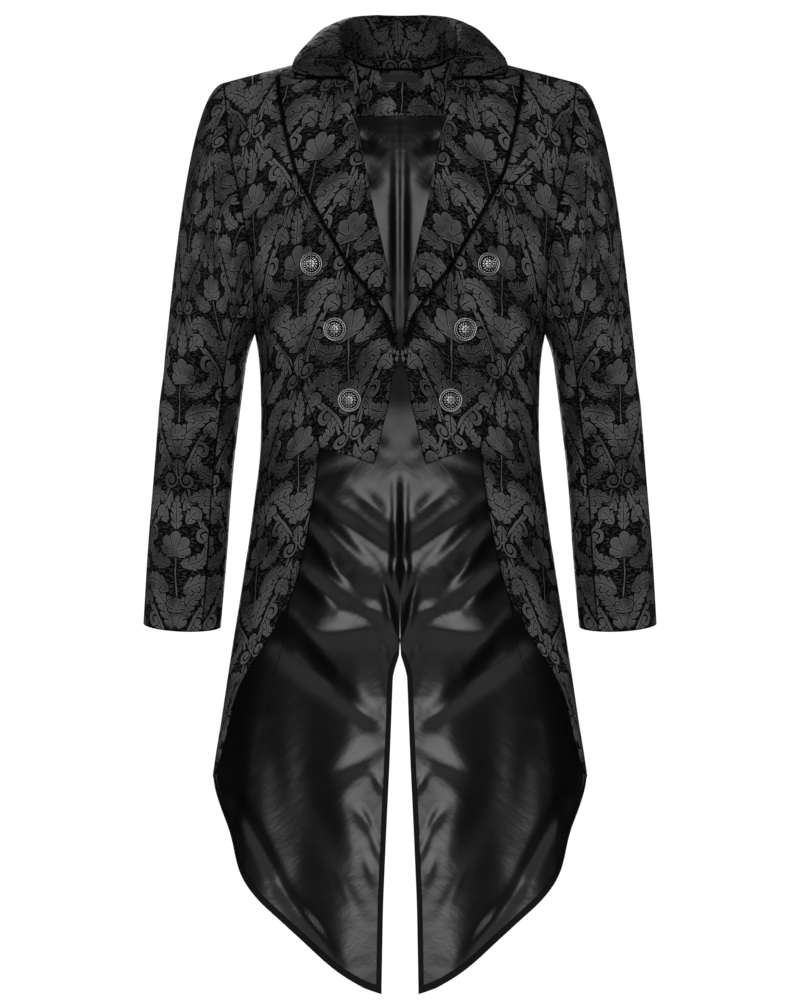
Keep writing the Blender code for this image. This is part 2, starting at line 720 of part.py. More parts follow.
def build_panels():
    """Builds the shell's panels, and gives the grids that the layers inside them follow."""
    armhole = armhole_points()
    front, side = front_grid(armhole), side_grid(armhole)
    back = back_grid(armhole, side)
    half = SEAM_GAP / 2
    fronts = None
    for name, grid in (("front", front), ("side", side), ("back", back)):
        sheets = layer(grid, 0.0, SHELL_WALL)
        top = half if name == "side" else SHOULDER_GAP
        pieces = pair(name, draw_in(sheets, left=half, right=half, top=top), FIGURED_CLOTH)
        fronts = fronts or pieces
    return armhole, front, side, back, fronts


# Small pieces that lie on a panel: places are (x, z), as seen from the front
LABEL_HALF_WIDTH = 0.0225
LABEL_TOP = -0.0030
LABEL_FOOT = -0.0120
WELT_CORNERS = ((0.1262, -0.1292), (0.1562, -0.1306), (0.1170, -0.1538), (0.1530, -0.1552))
WELT_WALL = 0.0015
IN_FRONT = -0.4
BUTTON_ROWS = ("upper", "middle", "lower")
BUTTON_PLACES = ((0.1021, -0.2478), (0.0752, -0.3238), (0.0584, -0.4064))
BUTTON_PROFILE = (
    (0.0000, 0.0000),
    (0.0034, 0.0000),
    (0.0034, 0.0022),
    (0.0134, 0.0026),
    (0.0141, 0.0038),
    (0.0132, 0.0052),
    (0.0078, 0.0074),
    (0.0000, 0.0088),
)
BUTTON_SIDES = 16


def seat(piece, x, z, start_y):
    """The spot and the facing of a piece's surface, met by a straight line along +Y."""
    met, spot, normal, _ = piece.ray_cast((x, start_y, z), (0.0, 1.0, 0.0))
    if not met:
        raise ValueError(f"nothing of {piece.name} at x {x:.4f}, z {z:.4f}")
    return np.array(spot), np.array(normal)


def on_piece(name, piece, corners, steps, start_y, wall_depth, look):
    """A flat tab that follows a piece, between corners given as left and right, top and foot."""
    columns, rows = steps
    s, t = np.meshgrid(np.linspace(0, 1, columns + 1), np.linspace(0, 1, rows + 1))
    top_left, top_right, foot_left, foot_right = (np.array(corner) for corner in corners)
    s, t = s[..., None], t[..., None]
    places = (1 - t) * ((1 - s) * top_left + s * top_right) + t * ((1 - s) * foot_left + s * foot_right)
    seats = [seat(piece, x, z, start_y) for x, z in places.reshape(-1, 2)]
    spots = np.array([spot for spot, _ in seats]).reshape(rows + 1, columns + 1, 3)
    normals = np.array([normal for _, normal in seats]).reshape(rows + 1, columns + 1, 3)
    sheets = [spots + normals * (LAYER_GAP + wall_depth), spots + normals * LAYER_GAP]
    return wall(name, sheets, look)


def turned_button(name, spot, normal):
    """A domed button with a rolled rim on a shank, turned about its own axis."""
    mesh = bpy.data.meshes.new(name)
    shape = bmesh.new()
    profile = [shape.verts.new((radius, 0.0, height)) for radius, height in BUTTON_PROFILE]
    edges = [shape.edges.new(ends) for ends in zip(profile, profile[1:])]
    bmesh.ops.spin(
        shape, geom=profile + edges, cent=(0, 0, 0), axis=(0, 0, 1), angle=2 * math.pi, steps=BUTTON_SIDES
    )
    bmesh.ops.remove_doubles(shape, verts=shape.verts, dist=1e-5)
    bmesh.ops.recalc_face_normals(shape, faces=shape.faces)
    shape.to_mesh(mesh)
    shape.free()
    mesh.materials.append(finish(name + "_finish", PEWTER))
    mesh.shade_smooth()
    mesh.set_sharp_from_angle(angle=math.radians(40))
    button = bpy.data.objects.new(name, mesh)
    bpy.context.scene.collection.objects.link(button)
    button.location = spot + normal * SEAM_GAP
    button.rotation_euler = Vector(normal).to_track_quat("Z", "Y").to_euler()
    return button


def build_trim(fronts, facing):
    left, right = fronts
    on_piece("breast_welt", left, WELT_CORNERS, (4, 2), IN_FRONT, WELT_WALL, FIGURED_CLOTH)
    half = LABEL_HALF_WIDTH
    corners = ((-half, LABEL_TOP), (half, LABEL_TOP), (-half, LABEL_FOOT), (half, LABEL_FOOT))
    on_piece("neck_label", facing, corners, (8, 1), 0.0, TAB_WALL, WOVEN_TAB)
    for row, (x, z) in zip(BUTTON_ROWS, BUTTON_PLACES):
        for side, piece, sign in (("left", left, 1), ("right", right, -1)):
            spot, normal = seat(piece, sign * x, z, IN_FRONT)
            turned_button(f"button_{side}_{row}", spot, normal)


def main():
    for old in list(bpy.data.objects):
        bpy.data.objects.remove(old, do_unlink=True)
    armhole, front, side, back, fronts = build_panels()
    build_sleeves(armhole)
    build_lapels()
    build_collar(front, back)
    build_linings(side, back)
    facing = build_facing(back)
    bpy.context.view_layer.update()
    build_trim(fronts, facing)


if __name__ == "__main__":
    main()
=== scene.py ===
"""Looks of a short-fronted tailcoat of black figured cloth, worn open and hollow.

Every piece of cloth is a thin wall worked out on the same figure and edges as the solids, with
finer steps, its creases and its seams. The front faces -Y and the wearer's left is at +X.
"""

import logging
import math
from dataclasses import dataclass, replace
from enum import Enum
from typing import NamedTuple

import bpy
import numpy as np
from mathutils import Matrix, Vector


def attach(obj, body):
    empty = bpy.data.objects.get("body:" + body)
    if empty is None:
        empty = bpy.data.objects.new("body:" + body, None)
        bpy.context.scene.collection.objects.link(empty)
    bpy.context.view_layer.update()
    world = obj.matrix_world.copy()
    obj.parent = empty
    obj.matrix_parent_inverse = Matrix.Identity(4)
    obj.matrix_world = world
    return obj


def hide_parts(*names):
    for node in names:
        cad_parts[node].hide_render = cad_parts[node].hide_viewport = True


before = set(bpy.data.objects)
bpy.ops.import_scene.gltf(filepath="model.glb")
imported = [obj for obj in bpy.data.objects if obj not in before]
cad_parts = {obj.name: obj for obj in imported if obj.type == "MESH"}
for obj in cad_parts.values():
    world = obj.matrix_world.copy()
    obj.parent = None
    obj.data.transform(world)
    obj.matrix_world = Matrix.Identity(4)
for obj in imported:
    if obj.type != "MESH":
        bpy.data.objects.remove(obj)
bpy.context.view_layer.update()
LOG = logging.getLogger("tailcoat")

Grid = np.ndarray
Rows = tuple[tuple[float, ...], ...]
Piece = bpy.types.Object
Finish = bpy.types.Material
MIRROR = np.array([-1.0, 1.0, 1.0])
TO_THE_BACK = (0.0, 1.0, 0.0)


class Side(Enum):
    """The wearer's two sides, as the sign of X."""

    LEFT = 1.0
    RIGHT = -1.0


def smooth(places: Grid, values: Grid, x: Grid) -> Grid:
    """Cubic through a table's rows, with the slope at each row taken from its neighbours.

    Args:
        places: where the rows stand, rising.
        values: one row of values for each place.
        x: the places asked for.

    Returns:
        The values at x, held at the first and last row beyond the ends.
    """
    places, values, x = (np.asarray(part, float) for part in (places, values, x))
    slopes = np.gradient(values, places, axis=0)
    row = np.clip(np.searchsorted(places, x, side="right") - 1, 0, len(places) - 2)
    width = places[row + 1] - places[row]
    t = np.clip((x - places[row]) / width, 0.0, 1.0)
    spread = t.shape + (1,) * (values.ndim - 1)
    t, width = t.reshape(spread), width.reshape(spread)
    start = (1 + 2 * t) * (1 - t) ** 2 * values[row] + t * (1 - t) ** 2 * width * slopes[row]
    end = t * t * (3 - 2 * t) * values[row + 1] - t * t * (1 - t) * width * slopes[row + 1]
    return start + end


def signed_power(value: Grid, exponent: Grid) -> Grid:
    """The size of a value raised to a power, with the value's own sign."""
    return np.sign(value) * np.abs(value) ** exponent


def ease_in(value: Grid) -> Grid:
    """Smooth step from 0 to 1 of a value held between 0 and 1."""
    held = np.clip(value, 0.0, 1.0)
    return held * held * (3 - 2 * held)


def bell(value: Grid, middle: float, half: float) -> Grid:
    """1 at the middle and flat about it, falling to 0 past the half width on both sides."""
    return np.exp(-(((value - middle) / half) ** 4))


def unit(vectors: Grid) -> Grid:
    """Vectors brought to length one."""
    return vectors / np.maximum(np.linalg.norm(vectors, axis=-1, keepdims=True), 1e-12)


def lengths_along(points: Grid, axis: int) -> Grid:
    """Running length of a grid's lines along one axis, starting at 0."""
    axis = axis % points.ndim
    runs = np.linalg.norm(np.diff(points, axis=axis), axis=-1)
    start = np.zeros_like(np.take(runs, [0], axis=axis))
    return np.concatenate([start, np.cumsum(runs, axis=axis)], axis=axis)


def read_at(where: Grid, run: Grid, rows: Grid) -> Grid:
    """Rows read at these places of their run, straight between one row and the next."""
    return np.stack([np.interp(where, run, column) for column in rows.T], axis=1)


def grid_normals(points: Grid) -> Grid:
    """Unit normals of a grid, along its columns' way crossed with its rows' way up."""
    return unit(np.cross(np.gradient(points, axis=1), -np.gradient(points, axis=0)))


def along_way(flat: Grid, start: tuple[float, float], end: tuple[float, float]) -> tuple[Grid, Grid]:
    """How far points of a plane lie along a straight way and away from it.

    Args:
        flat: points with two coordinates.
        start: where the way starts.
        end: where the way ends.

    Returns:
        The share along the way, held to 0 to 1, and the distance from the way.
    """
    first, way = np.array(start), np.array(end) - np.array(start)
    share = np.clip(((flat - first) @ way) / (way @ way), 0.0, 1.0)
    return share, np.linalg.norm(flat - first - share[..., None] * way, axis=-1)


@dataclass(frozen=True)
class Fold:
    """One crease: a soft ridge or trough between two places of a flat cloth."""

    from_x: float
    from_z: float
    to_x: float
    to_z: float
    half_band: float
    height: float

    def ease(self, flat: Grid) -> Grid:
        """Height of the fold: a bell across its way that swells and fades along it."""
        share, away = along_way(flat, (self.from_x, self.from_z), (self.to_x, self.to_z))
        swell = 0.35 + 0.65 * np.sin(math.pi * share) ** 2
        return self.height * swell * np.exp(-((away / self.half_band) ** 2))


def creased(flat: Grid, folds: tuple[Fold, ...]) -> Grid:
    """Sum of the folds' heights at the points of a flat cloth."""
    total = np.zeros(flat.shape[:-1])
    for fold in folds:
        total = total + fold.ease(flat)
    return total


# Rings of the body: level, half width, depth in front, depth behind, power of the ellipse.
RINGS = (
    (-1.150, 0.2330, 0.082, 0.132, 0.80),
    (-1.000, 0.2290, 0.086, 0.136, 0.80),
    (-0.860, 0.2225, 0.092, 0.138, 0.82),
    (-0.780, 0.2110, 0.099, 0.137, 0.84),
    (-0.700, 0.1990, 0.106, 0.132, 0.86),
    (-0.600, 0.1850, 0.112, 0.121, 0.87),
    (-0.530, 0.1760, 0.113, 0.107, 0.87),
    (-0.450, 0.1668, 0.111, 0.095, 0.87),
    (-0.400, 0.1663, 0.111, 0.095, 0.86),
    (-0.350, 0.1700, 0.116, 0.102, 0.85),
    (-0.300, 0.1785, 0.122, 0.112, 0.84),
    (-0.246, 0.1880, 0.124, 0.118, 0.83),
    (-0.205, 0.1970, 0.128, 0.124, 0.83),
    (-0.165, 0.2042, 0.128, 0.130, 0.83),
    (-0.123, 0.2095, 0.127, 0.131, 0.83),
    (-0.080, 0.2145, 0.125, 0.129, 0.83),
    (-0.040, 0.2150, 0.122, 0.126, 0.83),
    (0.000, 0.2125, 0.120, 0.124, 0.83),
)
# Flutes of the tails: middle and half band in degrees, depth, level where they start.
FLUTES = (
    (168.0, 9.0, 0.005, -0.66),
    (150.0, 10.0, -0.007, -0.62),
    (131.0, 10.0, 0.007, -0.66),
    (112.0, 9.0, -0.006, -0.70),
    (88.0, 10.0, 0.004, -0.66),
)


@dataclass(frozen=True)
class Figure:
    """The coat's outer surface on the wearer's left, over an angle and a rise.

    The angle runs round the body from 0 at the centre front to pi at the centre back. The rise
    is an angle over the chest: a quarter turn on the shoulder ridge, negative below the chest.
    """

    chest: float = -0.300
    to_ridge: float = 0.300
    flatness: float = 0.8
    steepest: float = math.radians(88)
    neck_half: float = 0.078
    neck_height: float = 0.0107
    slope: float = 0.25
    nape_climb: float = 0.015
    nape_reach: float = 0.100
    flute_growth: float = 0.30
    arc_points: int = 25

    def rise_of(self, level: Grid) -> Grid:
        """Rise of a ring's level: the arc sine of its share of the way up to the ridge."""
        up = (np.asarray(level, float) - self.chest) / self.to_ridge
        return np.where(up > 0, np.arcsin(np.clip(up, 0.0, 1.0)), up)

    def ridge(self, x: Grid) -> Grid:
        """Height of the shoulder ridge, which falls outwards and climbs a little to the nape."""
        climb = self.nape_climb * np.clip(1 - (x / self.nape_reach) ** 2, 0.0, 1.0) ** 2
        return self.neck_height - self.slope * (x - self.neck_half) + climb

    def body(self, angle: Grid, rise: Grid) -> Grid:
        """Squared ellipses of the rings table, whose depth closes up to the ridge above the chest."""
        table = np.array(RINGS)
        ring = smooth(self.rise_of(table[:, 0]), table[:, 1:], np.minimum(rise, math.pi - rise))
        half_width, front, back, power = np.moveaxis(ring, -1, 0)
        x = half_width * signed_power(np.sin(angle), power)
        facing = np.cos(angle)
        depth = np.where(facing > 0, front, back)
        closing = np.where(rise > 0, signed_power(np.cos(rise), self.flatness), 1.0)
        y = -depth * closing * signed_power(facing, power)
        upper = self.chest + (self.ridge(np.abs(x)) - self.chest) * np.sin(rise)
        z = np.where(rise > 0, upper, self.chest + self.to_ridge * rise)
        return np.stack([x, y, z], axis=-1)

    def cloth(self, angle: Grid, rise: Grid) -> Grid:
        """The body with the tails' flutes: bells round the body that grow down the cloth."""
        points = self.body(angle, rise)
        level = self.chest + self.to_ridge * rise
        ease = np.zeros_like(level)
        for centre, half_band, depth, start in FLUTES:
            growth = ease_in((start - level) / self.flute_growth)
            away = (np.degrees(angle) - centre) / half_band
            ease = ease + depth * growth * np.exp(-away * away)
        return points + unit(points * np.array([1.0, 1.0, 0.0])) * ease[..., None]

    def outward(self, angle: Grid, rise: Grid) -> Grid:
        """Unit normal of the cloth, by central differences short of the ridge."""
        step = 1e-3
        rise = np.minimum(rise, self.steepest)
        across = self.cloth(angle + step, rise) - self.cloth(angle - step, rise)
        upward = self.cloth(angle, rise + step) - self.cloth(angle, rise - step)
        return unit(np.cross(across, upward))

    def unrolled(self, angle: Grid, rise: Grid) -> Grid:
        """Flat place of each point: its length round the ring from the centre front, and its
        length down from the ridge, both worked out with the body's own arcs."""
        count = self.arc_points
        share = np.linspace(0, 1, count)
        around = self.body(angle[..., None] * share, np.repeat(rise[..., None], count, axis=-1))
        u = lengths_along(around, -2)[..., -1]
        top = np.full_like(rise, math.pi / 2)
        climb = rise[..., None] + (top - rise)[..., None] * share
        down = self.body(np.repeat(angle[..., None], count, axis=-1), climb)
        return np.stack([u, -lengths_along(down, -2)[..., -1]], axis=-1)


FIGURE = Figure()
# Armhole: turn round the hole from its top in degrees, then angle in degrees and level.
ARMHOLE = (
    (0.0, 90.0, 0.000),
    (22.5, 76.0, -0.018),
    (45.0, 71.5, -0.072),
    (67.5, 67.0, -0.135),
    (90.0, 65.0, -0.192),
    (112.5, 66.5, -0.243),
    (135.0, 71.5, -0.283),
    (157.5, 80.0, -0.312),
    (180.0, 90.0, -0.324),
    (202.5, 100.0, -0.312),
    (225.0, 108.5, -0.283),
    (247.5, 113.5, -0.243),
    (270.0, 114.5, -0.192),
    (292.5, 112.5, -0.135),
    (315.0, 108.0, -0.072),
    (337.5, 103.0, -0.018),
)
# Edges of the panels: angle round the body in degrees and level in metres.
FRONT_EDGE = (
    (17.4, 0.000),
    (16.2, -0.020),
    (14.6, -0.040),
    (13.1, -0.085),
    (11.2, -0.135),
    (8.4, -0.194),
    (5.8, -0.238),
    (3.7, -0.277),
    (2.3, -0.302),
    (1.2, -0.330),
    (0.05, -0.345),
    (0.05, -0.362),
    (2.0, -0.380),
    (2.6, -0.406),
    (4.9, -0.437),
    (6.3, -0.461),
    (8.0, -0.4818),
)
FRONT_SHOULDER = ((17.4, 0.0), (90.0, 0.0))
FRONT_HEM = ((8.0, -0.4818), (17.2, -0.4718), (31.1, -0.4620))
FRONT_SEAM = (
    (71.5, -0.283),
    (60.0, -0.318),
    (48.0, -0.358),
    (39.0, -0.400),
    (33.5, -0.436),
    (31.1, -0.462),
)
CUTAWAY = (
    (31.1, -0.462),
    (31.6, -0.492),
    (32.5, -0.523),
    (34.1, -0.563),
    (36.2, -0.604),
    (39.0, -0.637),
    (45.4, -0.671),
    (54.5, -0.706),
    (64.5, -0.740),
    (69.0, -0.765),
    (71.5, -0.800),
    (75.0, -0.830),
    (82.0, -0.851),
)
SIDE_HEM = ((82.0, -0.851), (92.0, -0.856), (102.5, -0.888), (112.0, -0.924), (126.0, -0.979))
BACK_SEAM = (
    (113.5, -0.243),
    (118.0, -0.283),
    (128.0, -0.330),
    (137.0, -0.400),
    (140.0, -0.460),
    (139.0, -0.550),
    (135.0, -0.700),
    (130.5, -0.850),
    (126.0, -0.979),
)
BACK_HEM = (
    (126.0, -0.979),
    (137.2, -1.020),
    (148.2, -1.056),
    (158.5, -1.086),
    (167.2, -1.113),
    (173.0, -1.129),
    (176.9, -1.136),
)
BACK_SHOULDER = ((90.0, 0.0), (162.6, 0.0))
BACK_NECK = ((162.6, 0.000), (166.0, -0.006), (170.0, -0.018), (175.0, -0.030), (180.0, -0.036))
CENTRE_BACK = (
    (180.0, -0.3),
    (180.0, -0.714),
    (178.6, -0.740),
    (178.2, -0.853),
    (177.7, -0.940),
    (177.2, -1.027),
    (176.9, -1.136),
)


def line(rows: Rows, steps: int = 24) -> Grid:
    """Fine points of an edge table, as angle and rise in radians, straight between its rows."""
    table = np.array([(math.radians(angle), float(FIGURE.rise_of(level))) for angle, level in rows])
    t = np.linspace(0, len(table) - 1, steps * (len(table) - 1) + 1)
    return read_at(t, np.arange(len(table)), table)


def shares(edge: Grid) -> Grid:
    """How far along each point of an edge lies, from 0 to 1, by its length on the cloth."""
    run = lengths_along(FIGURE.cloth(edge[:, 0], edge[:, 1]), 0)
    return run / run[-1]


def spaced(edge: Grid, where: Grid | int) -> Grid:
    """Points of an edge at these shares of its length, or at this many even steps."""
    if isinstance(where, int):
        where = np.linspace(0, 1, where + 1)
    return read_at(where, shares(edge), edge)


def softened(edge: Grid, rounds: int = 14) -> Grid:
    """An edge with its small corners rounded: each point moves to its neighbours' middle, again
    and again, with both ends held."""
    for _ in range(rounds):
        edge = np.concatenate([edge[:1], (edge[:-2] + 2 * edge[1:-1] + edge[2:]) / 4, edge[-1:]])
    return edge


def join_ends(*edges: Grid) -> Grid:
    """One edge from several, each starting where the one before it ends."""
    return np.concatenate([edges[0]] + [edge[1:] for edge in edges[1:]])


def patch(left: Grid, right: Grid, top: Grid, bottom: Grid) -> Grid:
    """Grid between four edges: the sum of the two straight blends less that of the corners.

    Args:
        left: the left edge, from top to bottom.
        right: the right edge, with as many points.
        top: the top edge, from left to right.
        bottom: the bottom edge, with as many points.

    Returns:
        Angle and rise, with rows that run down and columns from left to right.
    """
    t = shares(left)[:, None, None]
    s = shares(top)[None, :, None]
    sides = (1 - s) * left[:, None] + s * right[:, None]
    ends = (1 - t) * top[None] + t * bottom[None]
    corners = (1 - t) * ((1 - s) * top[0] + s * top[-1]) + t * ((1 - s) * bottom[0] + s * bottom[-1])
    return sides + ends - corners


@dataclass(frozen=True)
class Cut:
    """One piece of cloth cut from the figure, by its grid of angles and rises."""

    grid: Grid

    def flat(self) -> Grid:
        """The grid's place on the cloth before sewing, in metres."""
        return FIGURE.unrolled(self.grid[..., 0], self.grid[..., 1])

    def points(self) -> Grid:
        """The grid's points on the outer surface."""
        return FIGURE.cloth(self.grid[..., 0], self.grid[..., 1])

    def normals(self) -> Grid:
        """The grid's outward unit normals."""
        return FIGURE.outward(self.grid[..., 0], self.grid[..., 1])


@dataclass(frozen=True)
class Pattern:
    """Cutting pattern of the body: how finely each panel of it is worked out."""

    armhole_steps: int = 128
    front_step: int = 48
    back_step: int = 88
    front_columns: int = 34
    seam_steps: int = 22
    cutaway_steps: int = 64
    shoulder_steps: int = 18
    neck_steps: int = 14
    facing_rows: int = 12
    facing_points: int = 49
    facing_rounds: int = 8
    facing_foot: float = -0.0508
    vent_top: float = -0.714

    def armhole(self) -> Grid:
        """Points round the armhole: a cubic through its table, closed on itself."""
        table = np.array(ARMHOLE)
        values = np.stack([np.radians(table[:, 1]), FIGURE.rise_of(table[:, 2])], axis=1)
        turns = np.concatenate([table[-3:, 0] - 360, table[:, 0], table[:4, 0] + 360])
        values = np.concatenate([values[-3:], values, values[:4]])
        return smooth(turns, values, np.linspace(0, 360, self.armhole_steps + 1))

    def front(self) -> Grid:
        """The front, from its free edge out to the armhole and the front seam."""
        seam = spaced(softened(line(FRONT_SEAM)), self.seam_steps)
        outer = join_ends(self.armhole()[: self.front_step + 1], seam)
        inner = spaced(softened(line(FRONT_EDGE)), shares(outer))
        top = spaced(line(FRONT_SHOULDER), self.front_columns)
        return patch(inner, outer, top, spaced(softened(line(FRONT_HEM)), self.front_columns))

    def side(self) -> Grid:
        """The side, from the front seam and the cutaway edge back to the back seam."""
        seam = spaced(softened(line(FRONT_SEAM)), self.seam_steps)
        inner = join_ends(seam, spaced(softened(line(CUTAWAY)), self.cutaway_steps))
        outer = spaced(softened(line(BACK_SEAM)), shares(inner))
        top = self.armhole()[self.front_step : self.back_step + 1]
        return patch(inner, outer, top, spaced(softened(line(SIDE_HEM)), len(top) - 1))

    def facing_line(self, start: Grid) -> Grid:
        """The facing's foot: level across the back, with its rise found by a few fixed-point steps."""
        angle = np.linspace(start[0], math.pi, self.facing_points)
        height = np.linspace(FIGURE.cloth(start[0], start[1])[2], self.facing_foot, len(angle))
        rise = np.full_like(angle, start[1])
        for _ in range(self.facing_rounds):
            ridge = FIGURE.ridge(np.abs(FIGURE.cloth(angle, rise)[:, 0]))
            rise = np.arcsin((height - FIGURE.chest) / (ridge - FIGURE.chest))
        return np.stack([angle, rise], axis=1)

    def back(self) -> Grid:
        """The back, from the armhole and the back seam to the centre, facing rows first."""
        outer = join_ends(self.armhole()[self.back_step :][::-1], self.side()[:, -1])
        shoulder = spaced(line(BACK_SHOULDER), self.shoulder_steps)
        top = join_ends(shoulder, spaced(softened(line(BACK_NECK)), self.neck_steps))
        across = spaced(self.facing_line(outer[self.facing_rows]), shares(top))
        centre = np.linspace(top[-1], across[-1], self.facing_rows + 1)
        upper = patch(outer[: self.facing_rows + 1], centre, top, across)
        outer = outer[self.facing_rows :]
        fine = np.concatenate([across[-1:], softened(line(CENTRE_BACK), rounds=6)])
        hem = spaced(softened(line(BACK_HEM)), len(top) - 1)
        return join_ends(upper, patch(outer, spaced(fine, shares(outer)), across, hem))


def finer(grid: Grid, times: int) -> Grid:
    """A grid with this many times the rows and columns, straight between its own."""
    for _ in range(2):
        rows = np.linspace(0, len(grid) - 1, times * (len(grid) - 1) + 1)
        low = np.minimum(rows.astype(int), len(grid) - 2)
        share = (rows - low)[:, None, None]
        grid = (grid[low] * (1 - share) + grid[low + 1] * share).transpose(1, 0, 2)
    return grid


def to_border(points: Grid) -> Grid:
    """How far each point of a grid lies from the nearest border, along the grid's lines."""
    runs = [lengths_along(points, axis) for axis in (0, 1)]
    ends = [runs[0][-1:], runs[1][:, -1:]]
    return np.minimum.reduce([runs[0], ends[0] - runs[0], runs[1], ends[1] - runs[1]])


@dataclass(frozen=True)
class Wall:
    """A closed wall of cloth with rounded borders, built from one grid of points.

    The outer face is the grid, and the inner face is the grid moved in along its normals. On the
    border both close to the middle by the sink, so that an edge is soft. Panels that are sewn
    edge to edge have no sink, so that no light comes through their seams. On the coat's own
    middle the normals have no sideways part, so that its two sides meet there.
    """

    name: str
    points: Grid
    normals: Grid
    flat: Grid
    depth: float
    sink: float = 0.0004
    tuck: float = 0.0012
    tuck_shares: tuple[float, float] = (0.05, 0.6)
    shade: float = 0.0011
    middle: float = 0.0003
    edge_on_it: Grid | None = None
    cast: float = 0.0048

    def beside(self, edge: Grid, inside: Grid) -> Grid:
        """A new line of the grid, a tuck in from its edge towards the next line inside."""
        span = np.linalg.norm(inside[..., :3] - edge[..., :3], axis=-1)
        share = np.clip(self.tuck / np.maximum(span, 1e-9), *self.tuck_shares)[..., None]
        return edge + (inside - edge) * share

    def build(self, finishes: list[Finish]) -> Piece:
        """Makes the wall's mesh.

        Args:
            finishes: the finish of the whole wall, or that of its outer face and border and
                then that of its inner face.

        Returns:
            The wall as an object at the origin, with its flat places as a map in metres and,
            for the finish, a measure of painted shade that is 1 on the border and fades to 0
            within the shade. It is 1 as well along the edge of a piece that lies on this one, as a
            painted shadow of that edge, and fades out beside it.
        """
        sheet = np.concatenate([self.points, self.normals, self.flat], axis=-1)
        for _ in range(2):
            first = self.beside(sheet[0], sheet[1])
            last = self.beside(sheet[-1], sheet[-2])
            sheet = np.concatenate([sheet[:1], first[None], sheet[1:-1], last[None], sheet[-1:]])
            sheet = sheet.transpose(1, 0, 2)
        points, normals, flat = sheet[..., :3], sheet[..., 3:6], sheet[..., 6:]
        middle = np.abs(points[..., :1]) < self.middle
        normals = unit(np.where(middle, normals * np.array([0.0, 1.0, 1.0]), normals))
        rows, columns = points.shape[:2]
        edge = np.zeros((rows, columns), bool)
        edge[[0, -1]] = True
        edge[:, [0, -1]] = True
        dip = np.where(edge, self.sink, 0.0)[..., None]
        outer = points - normals * dip
        inner = points - normals * (self.depth - dip)
        index = np.arange(rows * columns).reshape(rows, columns)
        low, high = index[:-1, :-1].ravel(), index[1:, 1:].ravel()
        right, down = index[:-1, 1:].ravel(), index[1:, :-1].ravel()
        count = rows * columns
        face = np.stack([low, down, high, right], axis=1)
        back = np.stack([low, right, high, down], axis=1) + count
        ring = np.concatenate([index[0], index[1:, -1], index[-1, -2::-1], index[-2:0:-1, 0]])
        after = np.roll(ring, -1)
        border = np.stack([ring, after, after + count, ring + count], axis=1)
        faces = np.concatenate([face, back, border])
        slots = np.repeat([0, len(finishes) - 1, 0], [len(face), len(back), len(border)])
        places = np.concatenate([outer.reshape(-1, 3), inner.reshape(-1, 3)])
        mapped = np.concatenate([flat.reshape(-1, 2)] * 2)
        piece = put_mesh(self.name, places, faces, finishes, mapped, slots)
        # painted shade on the seams and folded edges, and a painted shadow beside the edge of a piece lying
        # on this wall
        painted_shade = np.exp(-((to_border(points) / self.shade) ** 2)).ravel()
        if self.edge_on_it is not None:
            far = np.linalg.norm(points.reshape(-1, 1, 3) - self.edge_on_it, axis=-1).min(axis=1)
            painted_shade = np.maximum(painted_shade, np.exp(-((far / self.cast) ** 2)))
        layer = piece.data.attributes.new("border", "FLOAT", "POINT")
        layer.data.foreach_set("value", np.concatenate([painted_shade, painted_shade]).astype(np.float32))
        return piece


def ring_faces(index: Grid) -> Grid:
    """Quads between the rows of a grid of vertex numbers that is closed on itself across."""
    after = np.roll(index, -1, axis=1)
    return np.stack([index[:-1], index[1:], after[1:], after[:-1]], axis=-1).reshape(-1, 4)


def put_mesh(
    name: str,
    points: Grid,
    faces: Grid,
    materials: list[Finish],
    flat: Grid | None = None,
    slots: Grid | None = None,
    sharp: float = 60.0,
) -> Piece:
    """Puts a mesh of quads or triangles into the scene.

    Args:
        name: the piece's name.
        points: its vertices.
        faces: its faces, all with as many corners.
        materials: its finishes.
        flat: each vertex's place on the flat cloth, in metres.
        slots: each face's finish.
        sharp: edges that bend more than this many degrees stay sharp.

    Returns:
        The object, smooth shaded, at the origin.
    """
    mesh = bpy.data.meshes.new(name)
    corners = faces.shape[1]
    mesh.vertices.add(len(points))
    mesh.vertices.foreach_set("co", np.ascontiguousarray(points, np.float32).ravel())
    mesh.loops.add(faces.size)
    mesh.loops.foreach_set("vertex_index", np.ascontiguousarray(faces, np.int32).ravel())
    mesh.polygons.add(len(faces))
    mesh.polygons.foreach_set("loop_start", np.arange(0, faces.size, corners, dtype=np.int32))
    mesh.update(calc_edges=True)
    for material in materials:
        mesh.materials.append(material)
    if slots is not None:
        mesh.polygons.foreach_set("material_index", np.ascontiguousarray(slots, np.int32))
    if flat is not None:
        layer = mesh.uv_layers.new(name="cloth")
        layer.data.foreach_set("uv", np.ascontiguousarray(flat[faces.ravel()], np.float32).ravel())
    mesh.validate()
    mesh.shade_smooth()
    mesh.set_sharp_from_angle(angle=math.radians(sharp))
    piece = bpy.data.objects.new(name, mesh)
    bpy.context.scene.collection.objects.link(piece)
    return piece


def other_side(points: Grid, flat: Grid) -> tuple[Grid, Grid]:
    """The same grid on the wearer's right: mirrored, with its columns turned round to face out."""
    return (points * MIRROR)[:, ::-1], flat[:, ::-1]


def on_side(side: Side, points: Grid, normals: Grid, flat: Grid) -> tuple[Grid, Grid, Grid]:
    """A grid with its normals and flat places, as it is on the left and mirrored on the right."""
    if side is Side.LEFT:
        return points, normals, flat
    turned, mapped = other_side(points, flat)
    return turned, (normals * MIRROR)[:, ::-1], mapped


def declared(
    piece: Piece,
    cut: tuple[float, float, float],
    slot: str,
    rests_on: list[str],
    *nodes: str,
) -> None:
    """Attaches a piece of cloth to the root body and hides the solids it stands for.

    Args:
        piece: the piece.
        cut: the width and length it was cut to and its flat area, in metres; not used.
        slot: a material slot name; not used.
        rests_on: what it is sewn to; not used.
        nodes: the solids it stands for.
    """
    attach(piece, "root")
    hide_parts(*nodes)


